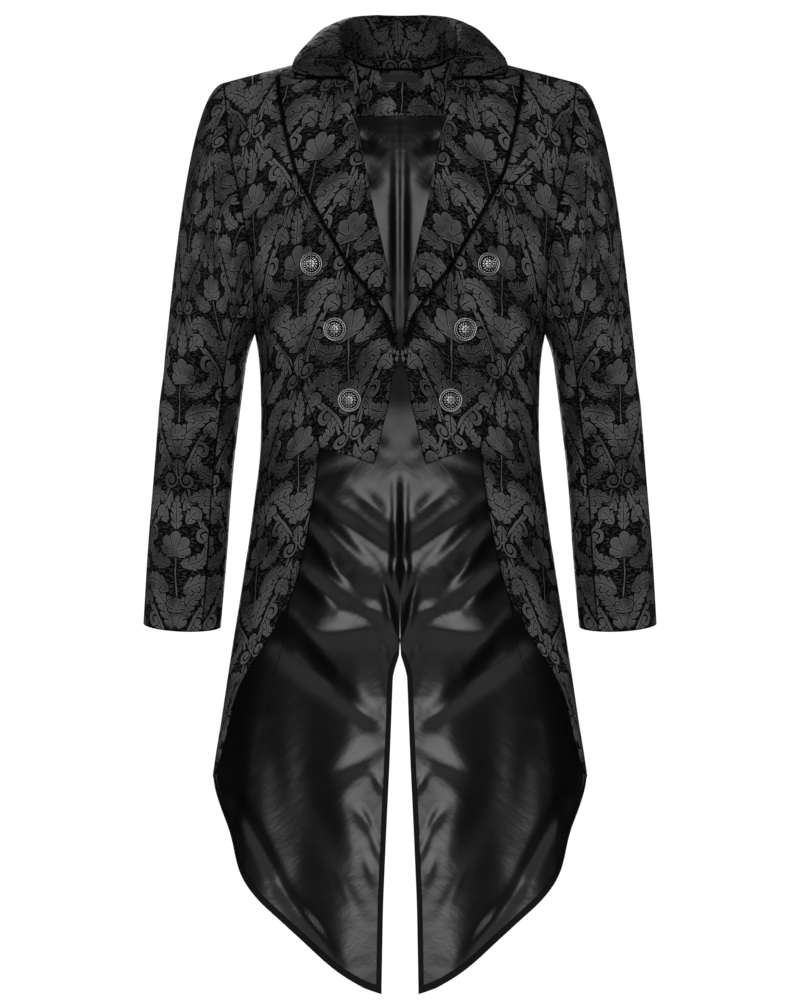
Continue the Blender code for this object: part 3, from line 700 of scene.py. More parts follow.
def for_both_sides(
    name: str,
    shape: tuple[Grid, Grid, Grid],
    cut: tuple[float, float, float],
    finishes: list[Finish],
    slot: str,
    rests_on: list[str],
    edge_on_it: Grid | None = None,
    **sizes: float,
) -> None:
    """Builds a piece for both sides of the wearer, and attaches each one and hides its solids.

    Args:
        name: the piece's name without its side.
        shape: its points, normals and flat places on the wearer's left.
        cut: the width and length it was cut to and its flat area.
        finishes: its finishes, as a wall takes them.
        slot: a material slot name.
        rests_on: what it is sewn to, without the side.
        edge_on_it: the edge of a piece that lies on it, on the wearer's left, beside which a shadow is
            painted.
        sizes: the wall's own sizes.
    """
    for side in Side:
        word = side.name.lower()
        node = f"{name}_{word}"
        edge = edge_on_it
        if edge is not None and side is Side.RIGHT:
            edge = edge * MIRROR
        wall = Wall(node + "_cloth", *on_side(side, *shape), edge_on_it=edge, **sizes)
        seams = [f"{part}_{word}" for part in rests_on]
        declared(wall.build(finishes), cut, slot, seams, node)


def cut_of(flat: Grid) -> tuple[float, float, float]:
    """Width, length and area of a flat grid: its bounds, and the sum of its cells' cross products."""
    width, length = np.ptp(flat[..., 0]), np.ptp(flat[..., 1])
    one, two = flat[1:, 1:] - flat[:-1, :-1], flat[:-1, 1:] - flat[1:, :-1]
    area = np.abs(one[..., 0] * two[..., 1] - one[..., 1] * two[..., 0]).sum() / 2
    return round(float(width), 3), round(float(length), 3), float(area)


@dataclass(frozen=True)
class Cloths:
    """The finishes that the sewn pieces share."""

    figured: Finish
    # turned: a darker copy of the figured cloth for the collar, whose extra darkness is painted shade
    turned: Finish
    # facing: a lighter copy of the figured cloth for the neck facing, whose extra lightness is painted
    # light
    facing: Finish
    reverse: Finish
    satin: Finish
    tape: Finish
    thread: Finish
    pewter: Finish


@dataclass
class Body:
    """Fronts, sides and backs: the outer cloth of the coat below the neck."""

    cloths: Cloths
    pattern: Pattern
    depth: float = 0.0020
    front_fineness: int = 2
    edge_steps: int = 220
    front_folds: tuple[Fold, ...] = (
        Fold(0.150, -0.235, 0.085, -0.330, 0.016, -0.0016),
        Fold(0.120, -0.300, 0.050, -0.355, 0.014, 0.0014),
        Fold(0.160, -0.275, 0.100, -0.385, 0.012, -0.0014),
        Fold(0.030, -0.352, 0.095, -0.375, 0.012, 0.0012),
        Fold(0.060, -0.390, 0.040, -0.470, 0.013, -0.0012),
        Fold(0.185, -0.060, 0.160, -0.190, 0.016, -0.0020),
    )
    side_folds: tuple[Fold, ...] = (
        Fold(0.160, -0.345, 0.105, -0.420, 0.014, -0.0018),
        Fold(0.165, -0.400, 0.125, -0.520, 0.016, 0.0020),
        Fold(0.150, -0.430, 0.165, -0.650, 0.018, -0.0022),
        Fold(0.125, -0.560, 0.150, -0.720, 0.016, 0.0018),
        Fold(0.190, -0.600, 0.205, -0.820, 0.018, 0.0020),
    )
    back_folds: tuple[Fold, ...] = (
        Fold(0.020, -0.430, 0.120, -0.470, 0.014, 0.0022),
        Fold(0.030, -0.455, 0.140, -0.520, 0.016, -0.0020),
        Fold(0.010, -0.400, 0.090, -0.385, 0.012, -0.0016),
        Fold(0.165, -0.120, 0.130, -0.260, 0.018, -0.0024),
        Fold(0.120, -0.080, 0.080, -0.210, 0.020, 0.0018),
        Fold(0.040, -0.640, 0.060, -0.860, 0.020, 0.0024),
    )

    def panel(
        self,
        name: str,
        grid: Grid,
        folds: tuple[Fold, ...],
        rests_on: list[str],
        edge_on_it: Grid | None = None,
    ) -> None:
        """Builds one panel for both sides of the wearer.

        Args:
            name: the panel's name without its side.
            grid: its angles and rises.
            folds: its creases, in metres across and down as seen from the front or back.
            rests_on: what it is sewn to.
            edge_on_it: the edge of a piece that lies on it, on the wearer's left, beside which a shadow is
                painted.
        """
        cut = Cut(grid)
        points, normals, flat = cut.points(), cut.normals(), cut.flat()
        points = points + normals * creased(points[..., [0, 2]], folds)[..., None]
        for_both_sides(
            name,
            (points, unit(normals + grid_normals(points)), flat),
            cut_of(flat),
            [self.cloths.figured, self.cloths.reverse],
            "figured_cloth",
            rests_on,
            edge_on_it,
            depth=self.depth,
            sink=0.0,
        )

    def build(self) -> None:
        """Builds all six panels."""
        # the lapel's edge: the fronts get a painted shadow beside it
        edge = spaced(softened(line(LAPEL_EDGE)), self.edge_steps)
        lapel = FIGURE.cloth(edge[:, 0], edge[:, 1])
        front = finer(self.pattern.front(), self.front_fineness)
        self.panel("front", front, self.front_folds, ["side", "sleeve_top"], lapel)
        self.panel("side", self.pattern.side(), self.side_folds, ["front", "back"])
        self.panel("back", self.pattern.back(), self.back_folds, ["side", "sleeve_top"])


def laid_flat(flat: Grid, column: int) -> Grid:
    """The cut of a piece from its lengths across and down, with every step at its true length.

    Args:
        flat: lengths across and down, each along its own line.
        column: the column that is laid straight.

    Returns:
        The flat cut: a step across that climbs as well spreads so much less.
    """
    step = np.diff(flat, axis=1)
    spread = np.sqrt(np.clip(step[..., 0] ** 2 - step[..., 1] ** 2, 0.0, None))
    across = np.concatenate([0 * spread[:, :1], np.cumsum(spread, axis=1)], axis=1)
    return np.stack([across - across[:, [column]], flat[..., 1]], axis=-1)


@dataclass
class Sleeves:
    """Two-piece sleeves: a top and an under half, from the armhole through the head to the cuff."""

    cloths: Cloths
    pattern: Pattern
    depth: float = 0.0020
    tilt: float = 0.05
    out_top: float = 0.120
    out_bottom: float = 0.012
    forward: float = 0.030
    drop: float = 0.030
    look_below: float = 0.01
    head_steps: int = 36
    arm_steps: int = 84
    front_seam: int = 44
    back_seam: int = 84
    per_degree: float = 0.0009
    fold_fade: float = 9.0
    map_start: float = 0.03
    # Height, middle across, middle in depth, half width, half depth, slant.
    sections: Rows = (
        (-0.360, 0.2337, -0.002, 0.0489, 0.068, 0.00),
        (-0.420, 0.2405, -0.006, 0.0482, 0.062, 0.02),
        (-0.500, 0.2478, -0.012, 0.0470, 0.056, 0.06),
        (-0.580, 0.2535, -0.018, 0.0474, 0.050, 0.11),
        (-0.672, 0.2598, -0.024, 0.0462, 0.044, 0.15),
    )
    # Across, these folds are placed in degrees round the sleeve.
    folds: tuple[Fold, ...] = (
        Fold(60.0, -0.115, 150.0, -0.165, 0.016, -0.0026),
        Fold(40.0, -0.250, 140.0, -0.300, 0.015, 0.0024),
        Fold(100.0, -0.330, 170.0, -0.300, 0.012, -0.0022),
        Fold(110.0, -0.365, 20.0, -0.410, 0.014, 0.0024),
        Fold(95.0, -0.395, 10.0, -0.372, 0.013, -0.0024),
        Fold(120.0, -0.430, 40.0, -0.465, 0.014, 0.0022),
        Fold(70.0, -0.505, 140.0, -0.545, 0.014, -0.0018),
        Fold(30.0, -0.560, 110.0, -0.590, 0.014, 0.0016),
        Fold(250.0, -0.150, 320.0, -0.230, 0.018, 0.0026),
        Fold(230.0, -0.340, 310.0, -0.375, 0.014, -0.0026),
        Fold(225.0, -0.400, 320.0, -0.415, 0.014, 0.0026),
        Fold(240.0, -0.455, 300.0, -0.500, 0.014, -0.0020),
    )

    def section(self, turn: Grid, height: Grid) -> Grid:
        """A sleeve's tube: an ellipse whose plane tips with the arm and with the cuff."""
        table = np.array(self.sections)
        row = smooth(-table[:, 0], table[:, 1:], -np.asarray(height, float))
        centre_x, centre_y, half_width, half_depth, slant = np.moveaxis(row, -1, 0)
        aside, ahead = half_width * np.cos(turn), half_depth * np.sin(turn)
        z = height + self.tilt * aside - slant * ahead
        return np.stack([centre_x + aside, centre_y - ahead, z + 0 * turn], axis=-1)

    def rings(self) -> Grid:
        """Rings of points: a cubic from the armhole to the first section, then the sections."""
        armhole = self.pattern.armhole()
        turn = np.linspace(0, 2 * math.pi, len(armhole))
        start = FIGURE.cloth(armhole[:, 0], armhole[:, 1])
        top = self.sections[0][0]
        end = self.section(turn, np.full_like(turn, top))
        below = self.section(turn, np.full_like(turn, top - self.look_below))
        arriving = unit(below - end) * np.linalg.norm(end - start, axis=1, keepdims=True)
        middle = (self.out_top + self.out_bottom) / 2
        out = middle + (self.out_top - middle) * np.cos(turn)
        down = np.full_like(turn, -self.drop)
        leaving = np.stack([out, -self.forward * np.sin(turn), down], axis=1)
        t = np.linspace(0, 1, self.head_steps + 1)[:, None, None]
        head = (1 + 2 * t) * (1 - t) ** 2 * start + t * (1 - t) ** 2 * leaving
        head = head + t * t * (3 - 2 * t) * end - t * t * (1 - t) * arriving
        heights = np.linspace(top, self.sections[-1][0], self.arm_steps + 1)[1:, None]
        return np.concatenate([head, self.section(turn[None, :], heights)])

    def normals(self, rings: Grid) -> Grid:
        """Outward normals of the closed tube, from its way round crossed with its way down."""
        around = np.roll(rings[:, :-1], -1, axis=1) - np.roll(rings[:, :-1], 1, axis=1)
        around = np.concatenate([around, around[:, :1]], axis=1)
        return unit(np.cross(around, np.gradient(rings, axis=0)))

    def build(self) -> None:
        """Builds both halves of both sleeves."""
        rings = self.rings()
        normals = self.normals(rings)
        turn = np.degrees(np.linspace(0, 2 * math.pi, rings.shape[1]))
        around = np.broadcast_to(turn, rings.shape[:2]) * self.per_degree
        place = np.stack([around, rings[..., 2]], axis=-1)
        folds = tuple(
            replace(fold, from_x=fold.from_x * self.per_degree, to_x=fold.to_x * self.per_degree)
            for fold in self.folds
        )
        fade = ease_in(np.linspace(0, 1, len(rings)) * self.fold_fade)[:, None]
        rings = rings + normals * (creased(place, folds) * fade)[..., None]
        normals = self.normals(rings)
        u = lengths_along(rings, 1)
        down = lengths_along(rings, 0)
        v = down[-1:] - down - down[-1, 0] - self.map_start
        steps = rings.shape[1] - 1
        for name, first, last in (
            ("sleeve_top", self.back_seam - steps, self.front_seam),
            ("sleeve_under", self.front_seam, self.back_seam),
        ):
            order = np.arange(last, first - 1, -1)
            wrapped = order % steps
            turns = (order < 0)[None, :] * -1.0
            middle = u[:, [0]] if name == "sleeve_top" else u[:, [(first + last) // 2]]
            across = -(u[:, wrapped] + turns * u[:, -1:] - middle)
            flat = np.stack([across, v[:, wrapped]], axis=-1)
            straight = last if name == "sleeve_top" else len(order) // 2
            for_both_sides(
                name,
                (rings[:, wrapped], normals[:, wrapped], flat),
                cut_of(laid_flat(flat, straight)),
                [self.cloths.figured, self.cloths.reverse],
                "figured_cloth",
                ["front", "back"],
                depth=self.depth,
                sink=0.0,
            )


# Edges of the lapel and of the collar's end: angle and level, as for the panels.
ROLL_LINE = (
    (13.0, -0.0455),
    (12.6, -0.066),
    (12.1, -0.085),
    (10.4, -0.135),
    (7.7, -0.194),
    (5.1, -0.238),
    (3.0, -0.277),
    (1.8, -0.302),
    (1.1, -0.325),
    (0.8, -0.340),
)
LAPEL_EDGE = (
    (38.2, -0.0122),
    (37.3, -0.0383),
    (35.9, -0.0624),
    (34.6, -0.0845),
    (33.2, -0.1115),
    (31.5, -0.1367),
    (28.6, -0.1585),
    (25.6, -0.1786),
    (22.4, -0.2020),
    (19.2, -0.2235),
    (14.3, -0.2542),
    (8.0, -0.2820),
    (3.2, -0.3056),
    (1.7, -0.3300),
    (1.4, -0.3430),
)
GORGE = ((13.0, -0.0455), (18.4, -0.0378), (25.0, -0.0309))
LAPEL_NOTCH = ((25.0, -0.0309), (31.2, -0.0248), (38.2, -0.0122))
COLLAR_NOTCH = ((25.0, -0.0309), (31.7, -0.0205), (32.4, -0.0144))
# Lift of the lapel off the front: share of the way from roll line to edge, then the lift.
LAPEL_LIFT = (
    (0.00, 0.0026),
    (0.04, 0.0037),
    (0.12, 0.0052),
    (0.30, 0.0056),
    (0.55, 0.0047),
    (0.78, 0.0039),
    (1.00, 0.0036),
)


def turning(degrees: float) -> Grid:
    """The matrix that turns flat places by this many degrees."""
    way = math.radians(degrees)
    return np.array([[math.cos(way), -math.sin(way)], [math.sin(way), math.cos(way)]])


@dataclass
class Lapels:
    """Wide lapels with a small notch, rolled over the fronts' free edges."""

    cloths: Cloths
    depth: float = 0.0020
    rows: int = 110
    columns: int = 40
    wrap_steps: int = 8
    wrap_depth: float = 0.0048
    wrap_reach: float = 0.0070
    wrap_fade: float = 8.0
    least_wrap: float = 0.25
    grain: float = -12.0
    lengthways: float = 12.0
    shade: float = 0.0034

    def grid(self) -> Grid:
        """Angles and rises between the roll line and the free edge, under the gorge and notch."""
        outer = spaced(softened(line(LAPEL_EDGE)), self.rows)
        inner = spaced(softened(line(ROLL_LINE)), shares(outer))
        across = np.linspace(0, 1, self.columns + 1)
        top = spaced(join_ends(line(GORGE), line(LAPEL_NOTCH)), across)
        return patch(inner, outer, top, spaced(np.stack([inner[-1], outer[-1]]), across))

    def wrapped(self, points: Grid, normals: Grid, off: Grid) -> Grid:
        """The roll: a half turn from the roll line round towards the inside of the front.

        Args:
            points: points along the roll line.
            normals: their outward normals.
            off: unit ways off the cloth there.

        Returns:
            Rows of points, the innermost first: an ellipse's arc that ends inside the coat.
        """
        turn = np.linspace(math.pi, 0.0, self.wrap_steps + 1)[:-1]
        aside = self.wrap_reach * np.sin(turn)
        under = self.wrap_depth * (1 - np.cos(turn))
        taper = ease_in((1 - np.linspace(0, 1, len(points))) * self.wrap_fade)[:, None, None]
        aside = aside[None, :, None] * taper
        under = under[None, :, None] * (self.least_wrap + (1 - self.least_wrap) * taper)
        return points[:, None] + off[:, None] * aside - normals[:, None] * under

    def build(self) -> None:
        """Builds both lapels."""
        grid = self.grid()
        cut = Cut(grid)
        lift = np.array(LAPEL_LIFT)
        lift = smooth(lift[:, 0], lift[:, 1], np.linspace(0, 1, self.columns + 1))
        normals = cut.normals()
        points = cut.points() + normals * lift[None, :, None]
        off = unit(points[:, 0] - points[:, 1])
        roll = self.wrapped(points[:, 0], normals[:, 0], off)
        points = np.concatenate([roll, points], axis=1)
        flat = cut.flat()
        extra = -lengths_along(points[:, self.wrap_steps :: -1], 1)[:, :0:-1]
        turned = np.stack([extra, np.zeros_like(extra)], axis=-1) + flat[:, :1]
        flat = np.concatenate([turned, flat], axis=1)
        for_both_sides(
            "lapel",
            (points, grid_normals(points), flat @ turning(self.grain).T),
            cut_of(flat @ turning(self.lengthways).T),
            [self.cloths.figured],
            "figured_cloth",
            ["front"],
            depth=self.depth,
            shade=self.shade,
        )


@dataclass
class Collar:
    """High turned collar: a stand on the neckline, a soft roll and a fall to the free edge."""

    cloths: Cloths
    pattern: Pattern
    depth: float = 0.0026
    edge_lift: float = 0.0040
    stand_steps: int = 26
    fall_steps: int = 40
    stations: int = 72
    gap: float = 0.0003
    seen_lip: tuple[float, float] = (0.0020, -0.0015)
    hidden_lip: tuple[float, float] = (0.0004, -0.0036)
    lip_from: float = 0.80
    lip_over: float = 0.20
    lift_reach: float = 1.4
    neck_foot: float = -0.0445
    normal_rounds: int = 4
    smooth_rounds: int = 10
    # The roll: share of the neckline from the centre back, then the place there.
    roll: Rows = (
        (0.000, 0.0000, 0.0780, 0.0680),
        (0.160, 0.0300, 0.0740, 0.0675),
        (0.295, 0.0540, 0.0580, 0.0620),
        (0.430, 0.0680, 0.0300, 0.0480),
        (0.600, 0.0705, -0.0020, 0.0290),
        (0.800, 0.0680, -0.0370, 0.0060),
        (1.000, 0.0625, -0.0725, -0.0275),
    )
    # The swell: for each row of the roll but the last, the place that the fall is drawn to.
    swell: Rows = (
        (0.0000, 0.1060, 0.0700),
        (0.0420, 0.1000, 0.0710),
        (0.0800, 0.0800, 0.0720),
        (0.1000, 0.0440, 0.0600),
        (0.1080, 0.0040, 0.0390),
        (0.1080, -0.0340, 0.0140),
    )
    # The free edge: for each row of the roll, angle and level on the figure.
    edge: Rows = (
        (180.0, -0.0496),
        (171.5, -0.0470),
        (161.0, -0.0360),
        (152.0, -0.0120),
        (149.2, 0.0000),
        (31.5, -0.0040),
        (32.4, -0.0144),
    )
    folds: tuple[Fold, ...] = (
        Fold(0.020, 0.055, 0.060, 0.028, 0.007, 0.0018),
        Fold(0.028, 0.066, 0.070, 0.036, 0.006, -0.0016),
        Fold(0.008, 0.030, 0.040, 0.010, 0.007, -0.0012),
        Fold(0.075, 0.052, 0.105, 0.020, 0.010, -0.0020),
        Fold(0.090, 0.030, 0.112, -0.008, 0.010, 0.0016),
    )

    def falls(self) -> Grid:
        """The fall's profile at each row of the tables: a curve from the roll, drawn to the swell,
        down to the free edge; the last one lies along the gorge at the lapel's own lift."""
        roll, swell, table = np.array(self.roll)[:, 1:], np.array(self.swell), np.array(self.edge)
        angle, rise = np.radians(table[:, 0]), FIGURE.rise_of(table[:, 1])
        edge = FIGURE.cloth(angle, rise) + FIGURE.outward(angle, rise) * self.edge_lift
        t = np.linspace(0, 1, self.fall_steps + 1)[None, :, None]
        fall = (1 - t) ** 2 * roll[:-1, None] + 2 * t * (1 - t) * swell[:, None]
        fall = fall + t * t * edge[:-1, None]
        end = spaced(join_ends(line(GORGE), line(COLLAR_NOTCH)), self.fall_steps)
        gorge = shares(join_ends(line(GORGE), line(LAPEL_NOTCH)))[len(line(GORGE)) - 1]
        lift = np.array(LAPEL_LIFT)
        share = np.linspace(0, 1, self.fall_steps + 1) * gorge * self.lift_reach
        lift = np.interp(share, lift[:, 0], lift[:, 1])
        last = FIGURE.cloth(*end.T) + FIGURE.outward(*end.T) * lift[:, None]
        return np.concatenate([fall, last[None]])

    def neckline(self) -> tuple[Grid, Grid, Grid]:
        """The neck opening's edge from the centre back to the gorge.

        Returns:
            Its points, their outward normals, and the ways off the panel along the cloth.
        """
        behind = softened(line(BACK_NECK))[::-1]
        whole = softened(line(FRONT_EDGE))
        ahead = whole[whole[:, 1] > FIGURE.rise_of(self.neck_foot)]
        points = np.concatenate([FIGURE.cloth(*behind.T), FIGURE.cloth(*ahead[1:].T)])
        normals = np.concatenate([FIGURE.outward(*behind.T), FIGURE.outward(*ahead[1:].T)])
        run = lengths_along(points, 0)
        even = np.linspace(0, run[-1], self.stations + 1)
        points = read_at(even, run, points)
        normals = unit(read_at(even, run, normals))
        for _ in range(self.normal_rounds):
            normals[1:-1] = unit(normals[:-2] + 2 * normals[1:-1] + normals[2:])
        return points, normals, unit(np.cross(np.gradient(points, axis=0), normals))

    def build(self) -> None:
        """Builds the collar in one piece over both sides."""
        points, normals, off = self.neckline()
        share = np.linspace(0, 1, len(points))
        fall = smooth(np.array(self.roll)[:, 0], self.falls(), share)
        hidden_foot = points + off * self.gap
        seen_foot = hidden_foot - normals * self.depth
        late = ease_in((share - self.lip_from) / self.lip_over)[:, None]
        for foot, (away, under) in ((seen_foot, self.seen_lip), (hidden_foot, self.hidden_lip)):
            lip = fall[:, 0] + off * away + normals * under
            foot += (lip - foot) * late
        up = np.linspace(0, 1, self.stand_steps + 1)[None, :-1, None]
        stand = seen_foot[:, None] + (fall[:, :1] - seen_foot[:, None]) * up
        seen = np.concatenate([stand, fall], axis=1)
        for _ in range(self.smooth_rounds):
            seen[:, 1:-1] = (seen[:, :-2] + 2 * seen[:, 1:-1] + seen[:, 2:]) / 4
        facing = -unit(np.cross(np.gradient(seen, axis=0), np.gradient(seen, axis=1)))
        wave = creased(seen[..., [0, 2]], self.folds) * ease_in(np.sin(math.pi * share) * 3)[:, None]
        seen = seen + facing * wave[..., None]
        flat = np.stack(
            [
                lengths_along(seen, 0)[:, self.stand_steps, None] + 0 * seen[..., 0],
                -lengths_along(seen, 1),
            ],
            axis=-1,
        )
        seen[0, :, 0] = 0.0
        right, mapped = seen[:0:-1] * MIRROR, flat[:0:-1] * MIRROR[:2]
        whole = np.concatenate([right, seen]).transpose(1, 0, 2)
        flat = np.concatenate([mapped, flat]).transpose(1, 0, 2)
        wall = Wall("collar_cloth", whole, grid_normals(whole), flat, depth=self.depth)
        # the collar takes the darker copy of the figured cloth: painted shade
        piece = wall.build([self.cloths.turned])
        declared(piece, cut_of(flat), "figured_cloth", ["back_left", "back_right"], "collar")


@dataclass
class Linings:
    """Satin linings of the back and the tails, drawn into soft folds, inside turned hems."""

    cloths: Cloths
    pattern: Pattern
    shell_depth: float = 0.0020
    gap: float = 0.0006
    depth: float = 0.0010
    hem_turn: float = 0.010
    vent_turn: float = 0.007
    seam_turn: float = 0.0002
    middle_turn: float = 0.00005
    vent_over: float = 0.012
    vent_fade: float = 0.02
    hold: float = 0.0005
    softness: float = 1e-6
    fineness: int = 2
    folds: tuple[Fold, ...] = (
        Fold(0.110, -0.600, -0.060, -0.600, 0.095, 0.0150),
        Fold(0.102, -0.527, 0.014, -0.588, 0.010, -0.0060),
        Fold(0.112, -0.561, 0.067, -0.612, 0.010, -0.0058),
        Fold(0.122, -0.613, 0.076, -0.657, 0.010, -0.0055),
        Fold(0.110, -0.688, 0.020, -0.680, 0.014, 0.0055),
        Fold(0.148, -0.696, 0.071, -0.766, 0.016, 0.0080),
        Fold(0.071, -0.766, 0.022, -0.806, 0.012, 0.0045),
        Fold(0.093, -0.872, 0.024, -0.829, 0.013, 0.0040),
        Fold(0.006, -0.500, 0.004, -0.640, 0.006, 0.0040),
        Fold(0.060, -0.505, 0.012, -0.545, 0.009, 0.0035),
        Fold(0.020, -0.600, 0.010, -0.700, 0.007, 0.0035),
        Fold(0.052, -0.650, 0.012, -0.668, 0.008, 0.0030),
        Fold(0.060, -0.900, 0.030, -0.935, 0.008, 0.0028),
        Fold(0.036, -0.925, 0.018, -0.985, 0.007, 0.0024),
        Fold(0.046, -0.955, 0.026, -1.010, 0.007, 0.0022),
        Fold(0.120, -0.860, 0.060, -1.010, 0.020, 0.0035),
        Fold(0.165, -0.790, 0.150, -0.930, 0.018, 0.0035),
        Fold(0.058, -0.072, 0.026, -0.088, 0.008, 0.0034),
        Fold(0.060, -0.100, 0.020, -0.140, 0.012, 0.0030),
        Fold(0.003, -0.055, 0.003, -0.300, 0.007, 0.0040),
        Fold(0.090, -0.360, 0.020, -0.420, 0.014, 0.0035),
        Fold(0.080, -0.420, 0.012, -0.470, 0.012, 0.0035),
        Fold(0.086, -0.548, 0.024, -0.602, 0.007, -0.0034),
        Fold(0.100, -0.590, 0.060, -0.630, 0.006, -0.0030),
        Fold(0.134, -0.668, 0.080, -0.728, 0.008, -0.0036),
        Fold(0.208, -0.882, 0.140, -1.010, 0.009, 0.0055),
        Fold(0.150, -1.000, 0.078, -1.096, 0.009, 0.0050),
        Fold(0.078, -0.985, 0.050, -1.040, 0.006, -0.0028),
        Fold(0.012, -0.590, 0.004, -0.630, 0.0045, 0.0030),
        Fold(0.022, -0.612, 0.006, -0.648, 0.0045, -0.0028),
        Fold(0.014, -0.655, 0.004, -0.700, 0.0045, 0.0030),
        Fold(0.030, -0.690, 0.012, -0.735, 0.0050, 0.0026),
        Fold(0.026, -0.745, 0.014, -0.800, 0.0050, -0.0024),
        Fold(0.034, -0.860, 0.016, -0.890, 0.0050, 0.0026),
        Fold(0.042, -0.905, 0.020, -0.955, 0.0050, -0.0024),
    )

    def sheet(self, grid: Grid, shell_folds: tuple[Fold, ...]) -> tuple[Grid, Grid]:
        """Points under the shell with the folds laid on the part behind, and the flat places.

        Troughs are softly held at the shell, by half the sum of the ease and its rounded size.

        Args:
            grid: the sheet's angles and rises.
            shell_folds: the shell's own creases there, which the lining follows.

        Returns:
            The sheet's outer face and its flat places.
        """
        cut = Cut(grid)
        points = cut.points()
        points = points + cut.normals() * creased(points[..., [0, 2]], shell_folds)[..., None]
        ease = np.where(points[..., 1] > 0, creased(points[..., [0, 2]], self.folds), 0.0)
        drawn = (ease + np.sqrt(ease**2 + self.softness)) / 2
        under = self.shell_depth + self.gap + drawn - self.hold
        return points - cut.normals() * under[..., None], cut.flat()

    def pulled(self, points: Grid, flat: Grid, widths: dict[str, Grid]) -> tuple[Grid, Grid]:
        """Draws a sheet's borders in along its lines, each line shrunk evenly by its own width.

        Args:
            points: the sheet.
            flat: its flat places.
            widths: for "first" and "last" columns and "top" and "bottom" rows, the distances.

        Returns:
            The sheet and its flat places with the hems left bare.
        """
        whole = np.concatenate([points, flat], axis=-1)
        for low, high, axis in (("first", "last", 1), ("top", "bottom", 0)):
            lines = np.moveaxis(whole, axis, 0)
            run = lengths_along(lines[..., :3], 0)
            total = run[-1]
            start = widths.get(low, np.zeros(1)) + 0 * total
            end = total - (widths.get(high, np.zeros(1)) + 0 * total)
            where = start + (end - start) * run / total
            rows = np.arange(len(run), dtype=float)
            steps = [np.interp(where[:, k], run[:, k], rows) for k in range(run.shape[1])]
            step = np.stack(steps, axis=1)
            base = np.clip(step.astype(int), 0, len(run) - 2)
            share = (step - base)[..., None]
            columns = np.arange(run.shape[1])[None, :]
            lines = lines[base, columns] * (1 - share) + lines[base + 1, columns] * share
            whole = np.moveaxis(lines, 0, axis)
        return whole[..., :3], whole[..., 3:]

    def place(self, name: str, points: Grid, flat: Grid, rests_on: list[str]) -> None:
        """Builds one lining for both sides, with its right side towards the inside of the coat.

        Args:
            name: the lining's name without its side.
            points: its outer face on the wearer's left.
            flat: its flat places.
            rests_on: what it is sewn to.
        """
        for_both_sides(
            name,
            (points, grid_normals(points), flat),
            cut_of(flat),
            [self.cloths.satin],
            "satin_lining",
            rests_on,
            depth=self.depth,
            sink=0.0,
        )

    def build(self) -> None:
        """Builds the linings of the back and the side."""
        hem, seam = np.array([self.hem_turn]), np.array([self.seam_turn])
        back = finer(self.pattern.back()[self.pattern.facing_rows :], self.fineness)
        points, flat = self.sheet(back, Body.back_folds)
        under_top = self.pattern.vent_top + self.vent_over - points[:, -1, 2]
        vent = ease_in(under_top / self.vent_fade) * self.vent_turn
        widths = {"last": vent + self.middle_turn, "bottom": hem, "first": seam}
        points, flat = self.pulled(points, flat, widths)
        self.place("lining_back", points, flat, ["back"])
        points, flat = self.sheet(finer(self.pattern.side(), self.fineness), Body.side_folds)
        widths = {"first": hem, "last": seam, "bottom": hem}
        points, flat = self.pulled(points, flat, widths)
        self.place("lining_side", points, flat, ["side"])


@dataclass
class NeckFacing:
    """Back neck facing of figured cloth inside the neck, with its row of stitches, and its label."""

    cloths: Cloths
    pattern: Pattern
    shell_depth: float = 0.0020
    gap: float = 0.0005
    depth: float = 0.0010
    stitch_line: float = 0.0030
    label_half: float = 0.0225
    label_top: float = -0.0030
    label_foot: float = -0.0120
    label_depth: float = 0.0008
    label_lift: float = 0.0004
    label_columns: int = 28
    label_rows: int = 8
    neck_turn: float = 0.0004

    def build(self) -> None:
        """Builds the facing over both sides, then the label and the stitches on it."""
        grid = self.pattern.back()[: self.pattern.facing_rows + 1]
        cut = Cut(grid)
        half = cut.points() - cut.normals() * (self.shell_depth + self.gap)
        half[0] -= unit(half[0] - half[1]) * self.neck_turn
        flat = cut.flat()
        flat = flat - np.array([1.0, 0.0]) * flat[:, -1:, :1]
        turned, mapped = other_side(half, flat)
        mapped = mapped * MIRROR[:2]
        points = np.concatenate([half[:, :-1], turned], axis=1)
        flat = np.concatenate([flat[:, :-1], mapped], axis=1)
        wall = Wall("neck_facing_cloth", points, grid_normals(points), flat, depth=self.depth, sink=0.0)
        # the facing takes the lighter copy of the figured cloth: painted light
        piece = wall.build([self.cloths.facing])
        declared(piece, cut_of(flat), "figured_cloth", ["back_left", "back_right"], "back_neck_facing")
        self.label(piece)
        inward = -grid_normals(points)[-1]
        seam = points[-1] + unit(points[-2] - points[-1]) * self.stitch_line + inward * self.depth
        Stitches(self.cloths).build("facing_stitches", seam, inward, "figured_cloth")

    def label(self, facing: Piece) -> None:
        """A plain woven tab, laid on the facing by straight lines from the front."""
        bpy.context.view_layer.update()
        columns, rows = self.label_columns, self.label_rows
        x = np.linspace(-self.label_half, self.label_half, columns + 1)
        z = np.linspace(self.label_top, self.label_foot, rows + 1)
        seats = [facing.ray_cast((a, 0.0, b), TO_THE_BACK) for b in z for a in x]
        spots = np.array([seat[1] for seat in seats]).reshape(rows + 1, columns + 1, 3)
        ways = unit(np.array([seat[2] for seat in seats]).reshape(rows + 1, columns + 1, 3))
        points = spots + ways * (self.label_lift + self.label_depth)
        across, down = np.meshgrid(x - x[0], z - z[0])
        flat = np.stack([across, down], axis=-1)
        wall = Wall("neck_label_tape", points, ways, flat, depth=self.label_depth, sink=0.0002, tuck=0.0006)
        piece = wall.build([self.cloths.tape])
        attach(piece, "root")
        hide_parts("neck_label")
        LOG.info("%s: laid on the facing", piece.name)


